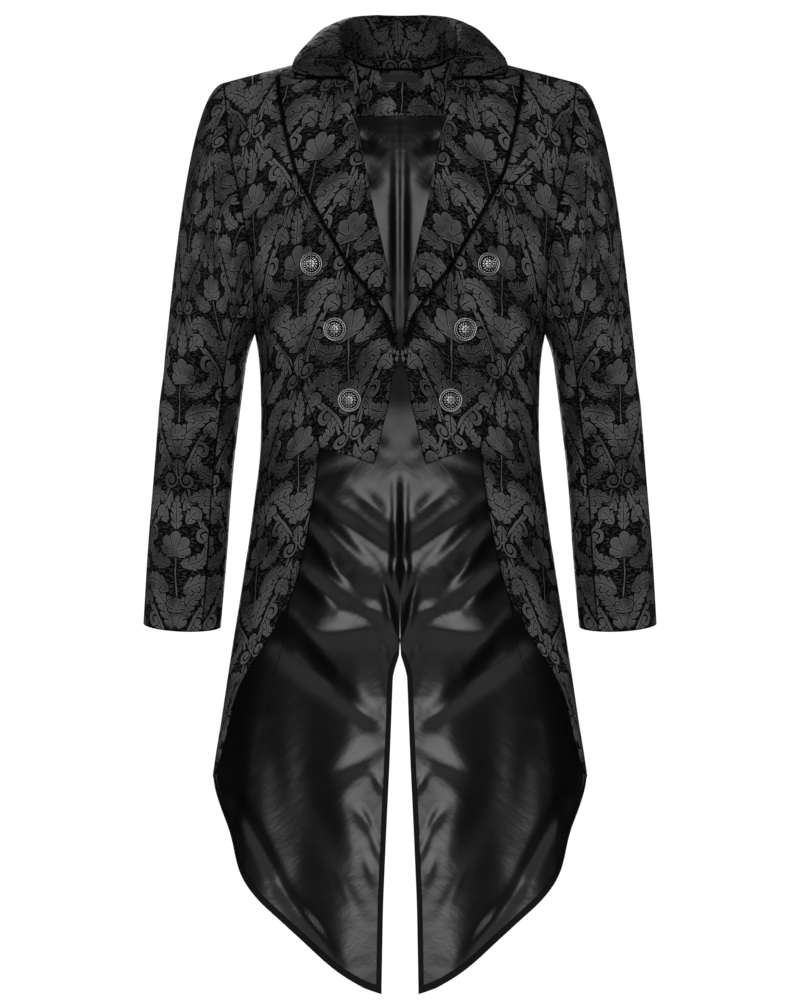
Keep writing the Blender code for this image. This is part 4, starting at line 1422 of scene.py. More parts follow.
@dataclass
class Buttons:
    """Six domed buttons with a rolled rim, a ring of beads and a rosette, each turned in relief."""

    cloths: Cloths
    # Name, place across and height of each one on the wearer's left.
    places: tuple[tuple[str, float, float], ...] = (
        ("upper", 0.1021, -0.2478),
        ("middle", 0.0752, -0.3238),
        ("lower", 0.0584, -0.4064),
    )
    radius: float = 0.0141
    bead_line: float = 0.0106
    rim_line: float = 0.0128
    lift: float = 0.0003
    relief_height: float = 0.00052
    sharp: float = 75.0
    turn_steps: int = 144
    petals: int = 8
    scrolls: int = 16
    beads: int = 30
    strands: int = 44
    start_y: float = -0.4
    # Radius, height, and the steps to there from the row before.
    profile: tuple[tuple[float, float, int], ...] = (
        (0.0000, 0.0086, 0),
        (0.0030, 0.0083, 7),
        (0.0060, 0.0074, 7),
        (0.0094, 0.0056, 8),
        (0.0098, 0.0049, 2),
        (0.0106, 0.0049, 3),
        (0.0114, 0.0047, 3),
        (0.0117, 0.0043, 1),
        (0.0122, 0.0048, 2),
        (0.0129, 0.0050, 3),
        (0.0136, 0.0046, 3),
        (0.0141, 0.0036, 3),
        (0.0136, 0.0026, 2),
        (0.0040, 0.0022, 3),
        (0.0034, 0.0018, 1),
        (0.0034, 0.0000, 2),
        (0.0000, 0.0000, 2),
    )

    def outline(self) -> Grid:
        """Radius and height along the turned profile, from the top of the dome to the shank."""
        rows = [np.array(self.profile[0][:2])[None]]
        for before, after in zip(self.profile, self.profile[1:]):
            t = np.linspace(0, 1, after[2] + 1)[1:, None]
            rows.append(np.array(before[:2]) * (1 - t) + np.array(after[:2]) * t)
        line_points = np.concatenate(rows)
        for _ in range(2):
            middle = (line_points[:-2] + 2 * line_points[1:-1] + line_points[2:]) / 4
            line_points = np.concatenate([line_points[:1], middle, line_points[-1:]])
        return line_points

    def relief(self, radius: Grid, turn: Grid, top: Grid) -> Grid:
        """Height of the ornament, from 0 to 1, over the radius and the turn.

        A boss, eight ribbed petals, a wreath of sixteen small scrolls, a ring of beads and a
        roped rim; each is a bell or a cosine of the turn within its own band of radii.
        """
        boss = bell(radius, 0.0, 0.0013)
        petal = np.abs(np.cos(self.petals / 2 * turn)) ** 0.6
        rib = 1 - 0.55 * np.exp(-((np.sin(self.petals / 2 * turn) * radius / 0.00035) ** 2))
        ribbed = 0.85 * petal * bell(radius, 0.0038, 0.0020) * rib
        wave = np.cos(self.scrolls * turn + 900 * (radius - 0.0074))
        scroll = 0.75 * ease_in((wave + 0.35) * 1.6) * bell(radius, 0.0075, 0.0013)
        bead = 0.9 * ease_in(np.abs(np.cos(self.beads * turn / 2)) * 1.3)
        bead = bead * bell(radius, self.bead_line, 0.00062)
        rope = 0.66 + 0.34 * np.cos(self.strands * turn + 2600 * (radius - self.rim_line))
        rope = rope * bell(radius, self.rim_line, 0.00095)
        return np.maximum.reduce([boss, ribbed, scroll, bead, rope]) * top

    def mesh_grid(self) -> tuple[Grid, Grid]:
        """Points of one button about its own axis, and each point's relief."""
        profile = self.outline()
        turn = np.arange(self.turn_steps) * 2 * math.pi / self.turn_steps
        radius = profile[:, 0][:, None] + 0 * turn[None]
        rim = int(np.argmax(profile[:, 0]))
        top = (np.arange(len(profile)) <= rim).astype(float)[:, None]
        relief = self.relief(radius, turn[None], top)
        height = profile[:, 1][:, None] + self.relief_height * relief
        return np.stack([radius * np.cos(turn), radius * np.sin(turn), height], axis=-1), relief

    def build(self, fronts: dict[Side, Piece]) -> None:
        """Seats the six buttons on the fronts, by straight lines from the front.

        Args:
            fronts: the front panel of each side.
        """
        grid, relief = self.mesh_grid()
        rows, steps = relief.shape
        index = 1 + np.arange((rows - 2) * steps).reshape(rows - 2, steps)
        after = np.roll(index, -1, axis=1)
        quads = ring_faces(index)
        last = index.size + 1
        cap = np.stack([0 * index[0], index[0], after[0]], axis=1)
        foot = np.stack([0 * index[-1] + last, after[-1], index[-1]], axis=1)
        triangles = np.concatenate([quads[:, [0, 1, 2]], quads[:, [0, 2, 3]], cap, foot])
        shape = np.concatenate([grid[:1, 0], grid[1:-1].reshape(-1, 3), grid[-1:, 0]])
        tone = np.concatenate([relief[:1, 0], relief[1:-1].ravel(), relief[-1:, 0]])
        for word, x, z in self.places:
            for side, front in fronts.items():
                start = (side.value * x, self.start_y, z)
                met, spot, normal, _ = front.ray_cast(start, TO_THE_BACK)
                if not met:
                    raise ValueError(f"no front under the {word} button")
                turned = np.array(normal.to_track_quat("Z", "Y").to_matrix())
                points = shape @ turned.T + np.array(spot) + np.array(normal) * self.lift
                node = f"button_{side.name.lower()}_{word}"
                metal = [self.cloths.pewter]
                button = put_mesh(node + "_metal", points, triangles, metal, sharp=self.sharp)
                layer = button.data.attributes.new("relief", "FLOAT", "POINT")
                layer.data.foreach_set("value", tone.astype(np.float32))
                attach(button, "root")
                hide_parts(node)
                LOG.info("%s: seated at %.3f, %.3f", button.name, side.value * x, z)


@dataclass
class BreastWelt:
    """The slanting welt of the breast pocket, on the wearer's left front."""

    cloths: Cloths
    # Place across and height of the top's two corners, then of the foot's.
    corners: Rows = (
        (0.1262, -0.1292),
        (0.1562, -0.1306),
        (0.1170, -0.1538),
        (0.1530, -0.1552),
    )
    lift: float = 0.0004
    depth: float = 0.0015
    sink: float = 0.0005
    map_corner: tuple[float, float] = (0.118, -0.155)
    columns: int = 26
    rows: int = 18
    start_y: float = -0.4

    def build(self, front: Piece) -> None:
        """Lays the welt on the left front, by straight lines from the front."""
        s, t = np.meshgrid(np.linspace(0, 1, self.columns + 1), np.linspace(0, 1, self.rows + 1))
        top_left, top_right, foot_left, foot_right = (np.array(corner) for corner in self.corners)
        s, t = s[..., None], t[..., None]
        top, foot = (1 - s) * top_left + s * top_right, (1 - s) * foot_left + s * foot_right
        places = (1 - t) * top + t * foot
        starts = [(x, self.start_y, z) for x, z in places.reshape(-1, 2)]
        seats = [front.ray_cast(start, TO_THE_BACK) for start in starts]
        spots = np.array([seat[1] for seat in seats]).reshape(places.shape[:2] + (3,))
        ways = unit(np.array([seat[2] for seat in seats]).reshape(spots.shape))
        points = spots + ways * (self.lift + self.depth)
        across, down = lengths_along(points, 1), lengths_along(points, 0)
        flat = np.stack([self.map_corner[0] + across, self.map_corner[1] - down], axis=-1)
        wall = Wall("breast_welt_cloth", points, ways, flat, depth=self.depth, sink=self.sink)
        piece = wall.build([self.cloths.figured])
        declared(piece, cut_of(flat), "figured_cloth", ["front_left"], "breast_welt")


@dataclass
class Stitches:
    """A row of hand stitches, each a small capsule of thread laid on the cloth."""

    cloths: Cloths
    length: float = 0.0032
    pitch: float = 0.0052
    radius: float = 0.00028
    sides: int = 6
    rings: int = 5

    def build(self, name: str, path: Grid, outward: Grid, slot: str) -> None:
        """Lays stitches along a line on the cloth.

        Args:
            name: the row's name.
            path: points along the line.
            outward: unit ways off the cloth there.
            slot: a material slot name; not used.
        """
        run = lengths_along(path, 0)
        middles = np.arange(self.pitch / 2, run[-1] - self.pitch / 2, self.pitch)
        places = read_at(middles, run, path)
        ways = unit(read_at(middles, run, outward))
        along = unit(np.gradient(places, axis=0))
        beside = np.cross(ways, along)
        end = np.linspace(-1, 1, self.rings)
        girth = np.sqrt(np.clip(1 - end**4, 0.02, 1.0)) * self.radius
        turn = np.arange(self.sides) * 2 * math.pi / self.sides
        cosine, sine = np.cos(turn), np.sin(turn)
        points = places[:, None, None] + along[:, None, None] * (end * self.length / 2)[None, :, None, None]
        points = points + beside[:, None, None] * (girth[:, None] * cosine)[None, ..., None]
        points = points + ways[:, None, None] * (girth[:, None] * sine + self.radius * 0.5)[None, ..., None]
        one = np.arange(self.rings * self.sides).reshape(self.rings, self.sides)
        quads = ring_faces(one)[:, [0, 3, 2, 1]]
        triangles = [quads[:, [0, 1, 2]], quads[:, [0, 2, 3]]]
        fan = np.arange(1, self.sides - 1)
        triangles.append(np.stack([one[0, 0] + 0 * fan, one[0, fan + 1], one[0, fan]], axis=1))
        triangles.append(np.stack([one[-1, 0] + 0 * fan, one[-1, fan], one[-1, fan + 1]], axis=1))
        whole = np.concatenate(triangles)
        starts = np.arange(len(places))[:, None, None] * one.size
        faces = (whole[None] + starts).reshape(-1, 3)
        piece = put_mesh(name, points.reshape(-1, 3), faces, [self.cloths.thread])
        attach(piece, "root")
        LOG.info("%s: %d stitches", name, len(places))


@dataclass(frozen=True)
class Wire:
    """One value in a shader, on which sums are written as operators."""

    nodes: "Nodes"
    socket: bpy.types.NodeSocket

    def __add__(self, other: "Wire | float") -> "Wire":
        """Sum."""
        return self.nodes.math("ADD", self, other)

    __radd__ = __add__

    def __sub__(self, other: "Wire | float") -> "Wire":
        """Difference."""
        return self.nodes.math("SUBTRACT", self, other)

    def __rsub__(self, other: float) -> "Wire":
        """Difference from a number."""
        return self.nodes.math("SUBTRACT", other, self)

    def __mul__(self, other: "Wire | float") -> "Wire":
        """Product."""
        return self.nodes.math("MULTIPLY", self, other)

    __rmul__ = __mul__

    def __truediv__(self, other: "Wire | float") -> "Wire":
        """Quotient."""
        return self.nodes.math("DIVIDE", self, other)

    def __abs__(self) -> "Wire":
        """Size without sign."""
        return self.nodes.math("ABSOLUTE", self)

    def plus(self, factor: "Wire | float", more: "Wire | float") -> "Wire":
        """This value times a factor, plus one more."""
        return self.nodes.math("MULTIPLY_ADD", self, factor, more)

    def most(self, other: "Wire | float") -> "Wire":
        """The larger of two."""
        return self.nodes.math("MAXIMUM", self, other)

    def least(self, other: "Wire | float") -> "Wire":
        """The smaller of two."""
        return self.nodes.math("MINIMUM", self, other)

    def frac(self) -> "Wire":
        """The part after the whole number below."""
        return self.nodes.math("FRACT", self)

    def swing(self, scale: float) -> "Wire":
        """A zigzag between 0 and a scale."""
        return self.nodes.math("PINGPONG", self, scale)

    def sine(self) -> "Wire":
        """Sine of an angle in radians."""
        return self.nodes.math("SINE", self)

    def cosine(self) -> "Wire":
        """Cosine of an angle in radians."""
        return self.nodes.math("COSINE", self)

    def root(self) -> "Wire":
        """Square root of the value, or of 0 below it."""
        return self.nodes.math("SQRT", self.most(0.0))

    def over(self, low: float, high: float) -> "Wire":
        """Smooth step from 0 to 1 between two values."""
        ends = {"From Min": low, "From Max": high}
        return self.nodes.node(
            "ShaderNodeMapRange", {"interpolation_type": "SMOOTHSTEP"}, Value=self, **ends
        )

    def choose(self, low: "Wire | float", high: "Wire | float") -> "Wire":
        """The first value where this is 0, the second where it is 1, and a blend between."""
        return self.nodes.node("ShaderNodeMix", {"data_type": "FLOAT"}, Factor=self, A=low, B=high)


class Nodes:
    """A finish's node tree, and short ways to add to it."""

    def __init__(self, name: str) -> None:
        """Starts a finish with one Principled BSDF.

        Args:
            name: the finish's name.
        """
        self.material = bpy.data.materials.new(name)
        self.material.use_nodes = True
        self.tree = self.material.node_tree
        self.shader = self.tree.nodes["Principled BSDF"]

    def set(self, socket: bpy.types.NodeSocket, value: object) -> None:
        """Links a wire to a socket, or sets its number, colour or vector."""
        if isinstance(value, Wire):
            self.tree.links.new(value.socket, socket)
        else:
            socket.default_value = value

    def node(self, kind: str, settings: dict[str, object], out: int | str = 0, **inputs: object) -> Wire:
        """Adds a node.

        Args:
            kind: the node's type.
            settings: its properties, set before its inputs.
            out: the output that is wanted, by place or name.
            inputs: its inputs by name, as wires or values.

        Returns:
            The wanted output.
        """
        made = self.tree.nodes.new(kind)
        for key, value in settings.items():
            setattr(made, key, value)
        for key, value in inputs.items():
            fitting = [socket for socket in made.inputs if socket.name == key and socket.enabled]
            self.set(fitting[0], value)
        live = [socket for socket in made.outputs if socket.enabled]
        chosen = live[out] if isinstance(out, int) else next(s for s in live if s.name == out)
        return Wire(self, chosen)

    def math(self, operation: str, *values: "Wire | float") -> Wire:
        """Adds a Math node over one to three values."""
        made = self.tree.nodes.new("ShaderNodeMath")
        made.operation = operation
        for socket, value in zip(made.inputs, values):
            self.set(socket, value)
        return Wire(self, made.outputs[0])

    def dot(self, place: Wire, way: tuple[float, float]) -> Wire:
        """Length of a plane's place along a way."""
        made = self.tree.nodes.new("ShaderNodeVectorMath")
        made.operation = "DOT_PRODUCT"
        self.set(made.inputs[0], place)
        made.inputs[1].default_value = (*way, 0.0)
        return Wire(self, made.outputs["Value"])

    def join(self, x: "Wire | float", y: "Wire | float", z: "Wire | float" = 0.0) -> Wire:
        """A vector from its three parts."""
        return self.node("ShaderNodeCombineXYZ", {}, X=x, Y=y, Z=z)

    def parts(self, vector: Wire) -> tuple[Wire, Wire]:
        """The first two parts of a vector."""
        made = self.tree.nodes.new("ShaderNodeSeparateXYZ")
        self.set(made.inputs[0], vector)
        return Wire(self, made.outputs[0]), Wire(self, made.outputs[1])

    def blend(self, share: Wire, low: tuple[float, ...] | Wire, high: tuple[float, ...] | Wire) -> Wire:
        """A colour between two."""
        low, high = ((*c, 1.0) if isinstance(c, tuple) else c for c in (low, high))
        return self.node("ShaderNodeMix", {"data_type": "RGBA"}, Factor=share, A=low, B=high)

    def noise(self, place: Wire, scale: float, detail: float = 2.0, rough: float = 0.5) -> Wire:
        """Soft noise from 0 to 1 over a place."""
        kinds = {"noise_dimensions": "3D"}
        grain = {"Scale": scale, "Detail": detail, "Roughness": rough}
        return self.node("ShaderNodeTexNoise", kinds, 0, Vector=place, **grain)

    def drawn_by_hand(self, place: Wire, scale: float, reach: float) -> Wire:
        """A place moved a little by soft noise, so that what is drawn on it is never quite regular."""
        kinds = {"noise_dimensions": "2D"}
        tint = self.node("ShaderNodeTexNoise", kinds, "Color", Vector=place, Scale=scale, Detail=1.0)
        made = self.tree.nodes.new("ShaderNodeVectorMath")
        made.operation = "MULTIPLY_ADD"
        self.set(made.inputs[0], tint)
        made.inputs[1].default_value = (reach, reach, 0.0)
        self.set(made.inputs[2], place)
        return Wire(self, made.outputs["Vector"])

    def near_grey(self, value: Wire, blue: float = 1.0) -> Wire:
        """A grey of a value, with so much more blue."""
        return self.node("ShaderNodeCombineColor", {}, Red=value, Green=value, Blue=value * blue)

    def ribs(self, along: Wire, pitch: float) -> Wire:
        """Round ribs from 0 to 1 along a length in metres, a pitch in millimetres apart."""
        return (along * (2000.0 * math.pi / pitch)).sine().plus(0.5, 0.5)

    def bump(self, height: Wire, distance: float, strength: float = 1.0) -> Wire:
        """A normal tipped by a height."""
        return self.node("ShaderNodeBump", {}, Strength=strength, Distance=distance, Height=height)

    def cloth_place(self) -> Wire:
        """The flat cloth's own coordinates, in metres."""
        return self.node("ShaderNodeUVMap", {"uv_map": "cloth"})

    def finish(self, **inputs: object) -> Finish:
        """Sets the shader's inputs, whose names have underscores for spaces, and gives the material."""
        for key, value in inputs.items():
            self.set(self.shader.inputs[key.replace("_", " ")], value)
        return self.material


class Leaf(NamedTuple):
    """A leaf of the figure: its root, way, size and bend, and how many fingers lean how far."""

    x: float
    y: float
    degrees: float
    length: float
    width: float
    bend: float
    fingers: float
    lean: float


class Scroll(NamedTuple):
    """A curled tendril of the figure: its centre and size, and the hand that it turns to."""

    x: float
    y: float
    radius: float
    pitch: float
    hand: float


class Fan(NamedTuple):
    """A fan of the figure, on the lozenge's middle line: its heart, size and number of petals."""

    y: float
    radius: float
    petals: float


@dataclass(frozen=True)
class Figured:
    """Black cloth with matt figures of leaves, fans and scrolls on a flecked, ribbed ground.

    The figure repeats in a half drop of lozenges and is worked out in millimetres on the flat
    cloth. Each motif gives how deep a place lies inside it, and cuts a thin dark line round
    itself into the motifs under it.
    """

    name: str = "figured_cloth"
    width: float = 126.0
    drop: float = 204.0
    moat: float = 1.1
    rib: float = 1.3
    ground_low: float = 0.0003
    ground_high: float = 0.0250
    raised_low: float = 0.0225
    raised_high: float = 0.0370
    outline: float = 0.0220
    leaves: tuple[Leaf, ...] = (
        Leaf(2.0, -72.0, 50.0, 60.0, 15.0, 0.60, 6.0, 0.9),
        Leaf(8.0, -28.0, 2.0, 48.0, 13.0, 0.70, 5.0, 0.9),
        Leaf(7.0, 2.0, 34.0, 44.0, 12.5, -0.66, 5.0, 0.9),
        Leaf(9.0, 92.0, -48.0, 50.0, 12.5, -0.62, 6.0, 0.9),
        Leaf(12.0, 52.0, 30.0, 40.0, 11.0, 0.60, 5.0, 0.9),
        Leaf(0.0, 44.0, 90.0, 42.0, 10.5, 0.0, 5.0, 0.8),
        Leaf(5.0, -94.0, 22.0, 40.0, 11.0, -0.60, 5.0, 0.9),
        Leaf(0.0, -78.0, -88.0, 26.0, 9.0, 0.0, 3.0, 0.7),
        Leaf(40.0, 12.0, 70.0, 26.0, 8.0, 0.50, 3.0, 0.8),
    )
    scrolls: tuple[Scroll, ...] = (
        Scroll(44.0, -40.0, 13.0, 8.4, 1.0),
        Scroll(35.0, 36.0, 10.5, 7.2, -1.0),
        Scroll(53.0, 0.0, 9.0, 6.4, 1.0),
        Scroll(20.0, -22.0, 8.5, 6.0, -1.0),
        Scroll(27.0, 80.0, 10.0, 7.0, 1.0),
    )
    fans: tuple[Fan, ...] = (Fan(15.0, 27.0, 9.0), Fan(-52.0, 16.0, 7.0))

    def leaf(self, nodes: Nodes, place: Wire, row: Leaf) -> Wire:
        """How deep a place lies in a leaf: a bent lens cut into rounded fingers that lean to its
        tip, with thin gaps between them down to a core, and a thin midrib."""
        x, y, degrees, length, width, bend, fingers, lean = row
        way = math.radians(degrees)
        along, across = (math.cos(way), math.sin(way)), (-math.sin(way), math.cos(way))
        s = nodes.dot(place, along) / length - (x * along[0] + y * along[1]) / length
        t = nodes.dot(place, across) / length - (x * across[0] + y * across[1]) / length
        held = s.most(0.0).least(1.0)
        size = abs(t - held * (1.0 - held) * bend)
        profile = held.root() * (1.0 - held) * (2.15 * width / length)
        finger = (held - size * lean).plus(fingers, 0.35).swing(0.5) * 2.0
        edge = (profile * finger.root().plus(0.42, 0.58) - size - abs(s - held)) * length
        gap = finger.plus(length / fingers * 0.36, -0.45)
        core = (profile * 0.36 - size) * length
        midrib = size.plus(length, -0.36).most(held.plus(length, -0.78 * length))
        return edge.least(gap.most(core)).least(midrib)

    def scroll(self, nodes: Nodes, x: Wire, y: Wire, row: Scroll) -> Wire:
        """How deep a place lies in a curled tendril: a spiral band inside a circle."""
        centre_x, centre_y, radius, pitch, hand = row
        dx, dy = x - centre_x, y - centre_y
        far = (dx * dx + dy * dy).root()
        angle = nodes.math("ARCTAN2", dy, dx) * (hand / (2 * math.pi))
        band = (far / pitch - angle).frac()
        arm = (0.35 - abs(band - 0.5)) * pitch
        return arm.least(radius - far).most(2.4 - far)

    def fan(self, nodes: Nodes, x: Wire, y: Wire, row: Fan) -> Wire:
        """How deep a place lies in a fan: rounded petals that stand up from a heart, the middle
        ones the longest, parted by thin veins."""
        centre_y, radius, petals = row
        dy = y - centre_y
        far = (x * x + dy * dy).root()
        petal = abs((nodes.math("ARCTAN2", x, dy) * (petals / 2)).cosine())
        reach = (dy / far.most(1.0)).plus(0.36, 0.64)
        edge = reach * petal.root().plus(radius * 0.30, radius * 0.70) - far
        gap = (petal * far).plus(2.0 / petals, -0.36).most(radius * 0.26 - far)
        return edge.least(gap).least(dy + radius * 0.16)

    def stem(self, x: Wire, y: Wire) -> Wire:
        """How deep a place lies in the stems: a wave down the lozenge's side and a short stalk."""
        wave = (y * (2 * math.pi / self.drop)).cosine().plus(self.width / 4 - 9.0, self.width / 4 - 2.0)
        return (1.5 - abs(x - wave) * 0.8).most((1.0 - x).least(40.0 - abs(y)))

    def figure(self, nodes: Nodes) -> Wire:
        """How deep a place of the cloth lies inside the figure, in millimetres."""
        drawn = nodes.drawn_by_hand(nodes.cloth_place(), 34.0, 0.0048)
        u, v = nodes.parts(nodes.drawn_by_hand(drawn, 300.0, 0.0013))
        x = (u * (1000.0 / self.width)).swing(0.5) * self.width
        y = ((v * (1000.0 / self.drop)).frac() - 0.5) * self.drop
        far = x / (self.width / 2) + abs(y) / (self.drop / 2)
        other = nodes.math("GREATER_THAN", far, 1.0)
        shifted = ((v * (1000.0 / self.drop) + 0.5).frac() - 0.5) * self.drop
        x = other.choose(x, self.width / 2 - x)
        y = other.choose(y, shifted)
        place = nodes.join(x, y)
        depth = self.stem(x, y)
        motifs = [self.scroll(nodes, x, y, row) for row in self.scrolls]
        motifs += [self.leaf(nodes, place, row) for row in self.leaves]
        motifs += [self.fan(nodes, x, y, row) for row in self.fans]
        for motif in motifs:
            depth = motif.most(depth.least(-self.moat - motif))
        return depth

    def build(self) -> Finish:
        """Makes the finish."""
        nodes = Nodes(self.name)
        place = nodes.cloth_place()
        u, v = nodes.parts(place)
        depth = self.figure(nodes)
        mask = depth.over(-0.15, 0.40)
        open_ground = 1.0 - depth.over(-1.6, -0.6)
        outline = depth.over(0.1, 0.6) * (1.0 - depth.over(0.7, 1.5))
        ribs = nodes.ribs(v, self.rib)
        fleck = nodes.noise(nodes.join(u * 190.0, v * 520.0), 1.0, 1.0).over(0.45, 0.68)
        threads = nodes.noise(nodes.join(u * 1100.0, v * 210.0), 1.0, 2.0)
        tone = nodes.noise(place, 15.0, 3.0, 0.6).over(0.36, 0.64).plus(1.10, 0.34)
        low = (fleck * ribs.plus(0.35, 0.65) * open_ground).plus(self.ground_high, self.ground_low)
        high = threads.plus(self.raised_high, self.raised_low) * tone + outline * self.outline
        value = mask.choose(low, high) * self.by_the_border(nodes)
        grain = ribs.plus(0.6, fleck * 0.8)
        return nodes.finish(
            Base_Color=nodes.near_grey(value, 1.04),
            Roughness=mask.choose(0.85, 0.50),
            Specular_IOR_Level=0.035,
            Normal=nodes.bump(grain, 0.00025, 0.8),
        )

    def by_the_border(self, nodes: Nodes) -> Wire:
        """Shade beside a seam or a folded edge: 1 on the open cloth, dark on the border."""
        border = nodes.node("ShaderNodeAttribute", {"attribute_name": "border"}, "Fac")
        return 1.0 - border.over(0.05, 0.75)


@dataclass(frozen=True)
class PlainCloth:
    """The plain back of the cloth: fine ribs with a few paler threads."""

    value: float = 0.0035
    rib: float = 0.9

    def build(self) -> Finish:
        """Makes the finish."""
        nodes = Nodes("cloth_reverse")
        u, v = nodes.parts(nodes.cloth_place())
        ribs = nodes.ribs(v, self.rib)
        slub = nodes.noise(nodes.join(u * 60.0, v * 900.0), 1.0, 2.0)
        value = (slub * ribs).plus(self.value, self.value * 0.6)
        return nodes.finish(
            Base_Color=nodes.near_grey(value, 1.06),
            Roughness=slub.plus(0.1, 0.62),
            Specular_IOR_Level=0.08,
            Normal=nodes.bump(ribs, 0.00018, 0.7),
        )


@dataclass(frozen=True)
class Satin:
    """Black lining satin: smooth floats that gleam along one way, with fine wrinkles."""

    value: float = 0.0012

    def build(self) -> Finish:
        """Makes the finish."""
        nodes = Nodes("lining_satin")
        place = nodes.cloth_place()
        u, v = nodes.parts(place)
        floats = nodes.noise(nodes.join(u * 2600.0, v * 500.0), 1.0, 1.0)
        wrinkle = nodes.noise(nodes.join(u * 26.0 + v * 14.0, v * 34.0 - u * 12.0), 1.0, 3.0, 0.55)
        wave = nodes.noise(nodes.join(u * 9.0 - v * 5.0, v * 12.0 + u * 6.0), 1.0, 2.0)
        value = floats.plus(0.002, self.value) * wave.plus(0.6, 0.7)
        height = wrinkle.plus(0.35, wave) + floats * 0.006
        return nodes.finish(
            Base_Color=nodes.near_grey(value, 1.10),
            Roughness=floats.plus(0.06, 0.26),
            Specular_IOR_Level=0.33,
            Anisotropic=0.20,
            Normal=nodes.bump(height, 0.0024, 0.7),
        )


@dataclass(frozen=True)
class Tape:
    """Narrow woven tape with crosswise ribs."""

    value: float = 0.008
    rib: float = 0.8

    def build(self) -> Finish:
        """Makes the finish."""
        nodes = Nodes("label_tape")
        u, v = nodes.parts(nodes.cloth_place())
        ribs = nodes.ribs(u, self.rib)
        slub = nodes.noise(nodes.join(u * 900.0, v * 400.0), 1.0, 2.0)
        value = (ribs * slub).plus(self.value, self.value * 0.5)
        return nodes.finish(
            Base_Color=nodes.near_grey(value, 1.05),
            Roughness=slub.plus(0.15, 0.5),
            Normal=nodes.bump(ribs, 0.00015, 0.6),
        )


@dataclass(frozen=True)
class Thread:
    """Sewing thread: a little paler than the cloth, with a slight twist."""

    value: float = 0.05

    def build(self) -> Finish:
        """Makes the finish."""
        nodes = Nodes("sewing_thread")
        place = nodes.node("ShaderNodeTexCoord", {}, "Object")
        twist = nodes.noise(place, 1800.0, 1.0)
        value = twist.plus(self.value, self.value * 0.6)
        return nodes.finish(Base_Color=nodes.near_grey(value), Roughness=twist.plus(0.2, 0.4))


@dataclass(frozen=True)
class Pewter:
    """Aged pewter: bright on what is raised, dark where polish doesn't reach."""

    bright: tuple[float, float, float] = (0.30, 0.30, 0.304)
    dark: tuple[float, float, float] = (0.0012, 0.0012, 0.0014)

    def build(self) -> Finish:
        """Makes the finish."""
        nodes = Nodes("aged_pewter")
        relief = nodes.node("ShaderNodeAttribute", {"attribute_name": "relief"}, "Fac")
        place = nodes.node("ShaderNodeTexCoord", {}, "Object")
        patina = nodes.noise(place, 620.0, 4.0, 0.6)
        scuffs = nodes.noise(place, 3200.0, 2.0)
        polish = (relief + patina * 0.5).over(0.46, 1.02)
        return nodes.finish(
            Base_Color=nodes.blend(polish, self.dark, self.bright),
            Metallic=1.0,
            Roughness=polish.plus(-0.10, 0.42) + scuffs * 0.08,
            Normal=nodes.bump(patina + scuffs * 0.3, 0.00008, 0.6),
        )


def cloths() -> Cloths:
    """Makes the finishes that the pieces share."""
    return Cloths(
        figured=Figured().build(),
        # a darker copy of the figured cloth for the collar: painted shade
        turned=Figured(
            name="figured_cloth_painted_shade", raised_low=0.0100, raised_high=0.0200, outline=0.012
        ).build(),
        # a lighter copy of the figured cloth for the neck facing: painted light
        facing=Figured(name="figured_cloth_facing", raised_low=0.0400, raised_high=0.0560).build(),
        reverse=PlainCloth().build(),
        satin=Satin().build(),
        tape=Tape().build(),
        thread=Thread().build(),
        pewter=Pewter().build(),
    )


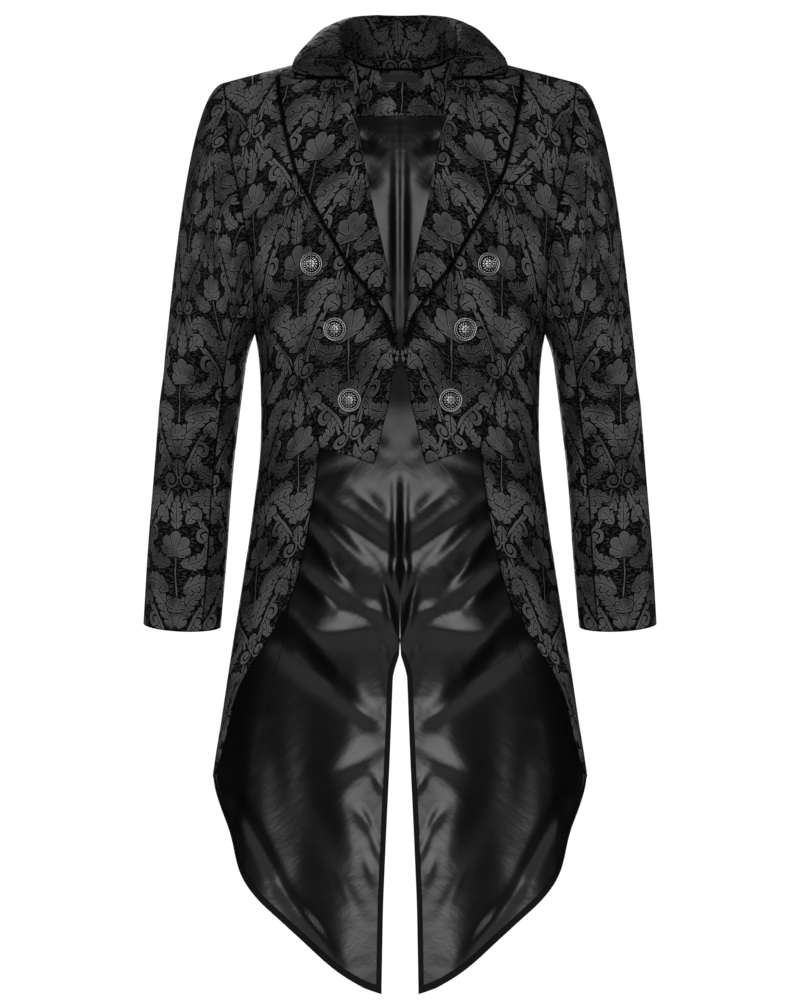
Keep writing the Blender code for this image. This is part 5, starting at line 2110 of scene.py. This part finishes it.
@dataclass
class Studio:
    """Pale floor that fades into a white room, soft lights all round and the camera."""

    floor_level: float = -1.42
    floor_radius: float = 1.85
    fade_from: float = 1.1
    fade_to: float = 1.83
    room: float = 0.045
    white: float = 1.05
    distance: float = 4.0
    level: float = -0.5232
    seen_height: float = 1.2
    # Name, three numbers for the place, width in metres, power in watts.
    lamps: tuple[tuple[str, float, float, float, float, float], ...] = (
        ("front", 0.0, -4.6, -0.1, 2.8, 170.0),
        ("high_left", -1.0, -3.4, 2.0, 1.2, 34.0),
        ("high_right", 1.0, -3.3, 1.8, 1.2, 22.0),
        ("left", 3.4, -0.1, 0.3, 1.4, 44.0),
        ("right", -3.4, -0.1, 0.3, 1.4, 50.0),
        ("behind", 0.0, 4.6, -0.1, 2.8, 170.0),
        ("high_behind", -0.8, 3.4, 2.0, 1.4, 60.0),
    )

    def floor(self) -> None:
        """A round floor of pale paper whose rim fades out."""
        radius = np.linspace(0.0004, self.floor_radius, 24)
        turn = np.arange(64) * 2 * math.pi / 64
        ring = np.stack([np.outer(radius, np.cos(turn)), np.outer(radius, np.sin(turn))], axis=-1)
        points = np.concatenate([ring, np.full(ring.shape[:2] + (1,), self.floor_level)], axis=-1)
        faces = ring_faces(np.arange(points[..., 0].size).reshape(points.shape[:2]))
        nodes = Nodes("paper")
        place = nodes.node("ShaderNodeTexCoord", {}, "Object")
        x, y = nodes.parts(place)
        shade = nodes.noise(place, 2.0, 2.0).plus(0.01, 0.895)
        shown = 1.0 - (x * x + y * y).root().over(self.fade_from, self.fade_to)
        material = nodes.finish(
            Base_Color=nodes.near_grey(shade),
            Roughness=0.9,
            Specular_IOR_Level=0.1,
            Alpha=shown,
        )
        put_mesh("paper_floor", points.reshape(-1, 3), faces, [material])

    def light(self, name: str, place: tuple[float, float, float], size: float, power: float) -> None:
        """One soft square light that looks at the coat's middle."""
        lamp = bpy.data.lights.new(name, "AREA")
        lamp.shape = "SQUARE"
        lamp.size = size
        lamp.energy = power
        lamp_object = bpy.data.objects.new(name, lamp)
        lamp_object.location = place
        way = Vector((0.0, 0.0, -0.5)) - Vector(place)
        lamp_object.rotation_euler = way.to_track_quat("-Z", "Y").to_euler()
        bpy.context.scene.collection.objects.link(lamp_object)

    def sky(self) -> None:
        """A white room: white where it is seen, dimmer where it lights."""
        world = bpy.data.worlds.new("white_room")
        world.use_nodes = True
        tree = world.node_tree
        background = tree.nodes["Background"]
        background.inputs["Color"].default_value = (1.0, 1.0, 1.0, 1.0)
        seen = tree.nodes.new("ShaderNodeLightPath")
        strength = tree.nodes.new("ShaderNodeMapRange")
        strength.inputs["To Min"].default_value = self.room
        strength.inputs["To Max"].default_value = self.white
        tree.links.new(seen.outputs["Is Camera Ray"], strength.inputs["Value"])
        tree.links.new(strength.outputs["Result"], background.inputs["Strength"])
        bpy.context.scene.world = world

    def build(self) -> None:
        """Sets the floor, the lights, the room and the camera."""
        self.floor()
        self.sky()
        for name, x, y, z, size, power in self.lamps:
            self.light(name, (x, y, z), size, power)
        bpy.context.scene.view_settings.view_transform = "Standard"
        lens = bpy.data.cameras.new("camera")
        lens.sensor_fit = "VERTICAL"
        lens.sensor_height = 36.0
        lens.lens = 36.0 * self.distance / self.seen_height
        camera = bpy.data.objects.new("camera", lens)
        camera.location = (0.0, -self.distance, self.level)
        camera.rotation_euler = (math.pi / 2, 0.0, 0.0)
        bpy.context.scene.collection.objects.link(camera)
        bpy.context.scene.camera = camera


def main() -> None:
    """Builds the coat piece by piece, then the studio."""
    logging.basicConfig(level=logging.INFO, format="%(name)s: %(message)s")
    finishes = cloths()
    pattern = Pattern()
    body = Body(finishes, pattern)
    body.build()
    Sleeves(finishes, pattern).build()
    Lapels(finishes).build()
    Collar(finishes, pattern).build()
    Linings(finishes, pattern).build()
    facing = NeckFacing(finishes, pattern)
    facing.build()
    bpy.context.view_layer.update()
    fronts = {side: bpy.data.objects[f"front_{side.name.lower()}_cloth"] for side in Side}
    BreastWelt(finishes).build(fronts[Side.LEFT])
    Buttons(finishes).build(fronts)
    Studio().build()


if __name__ == "__main__":
    main()
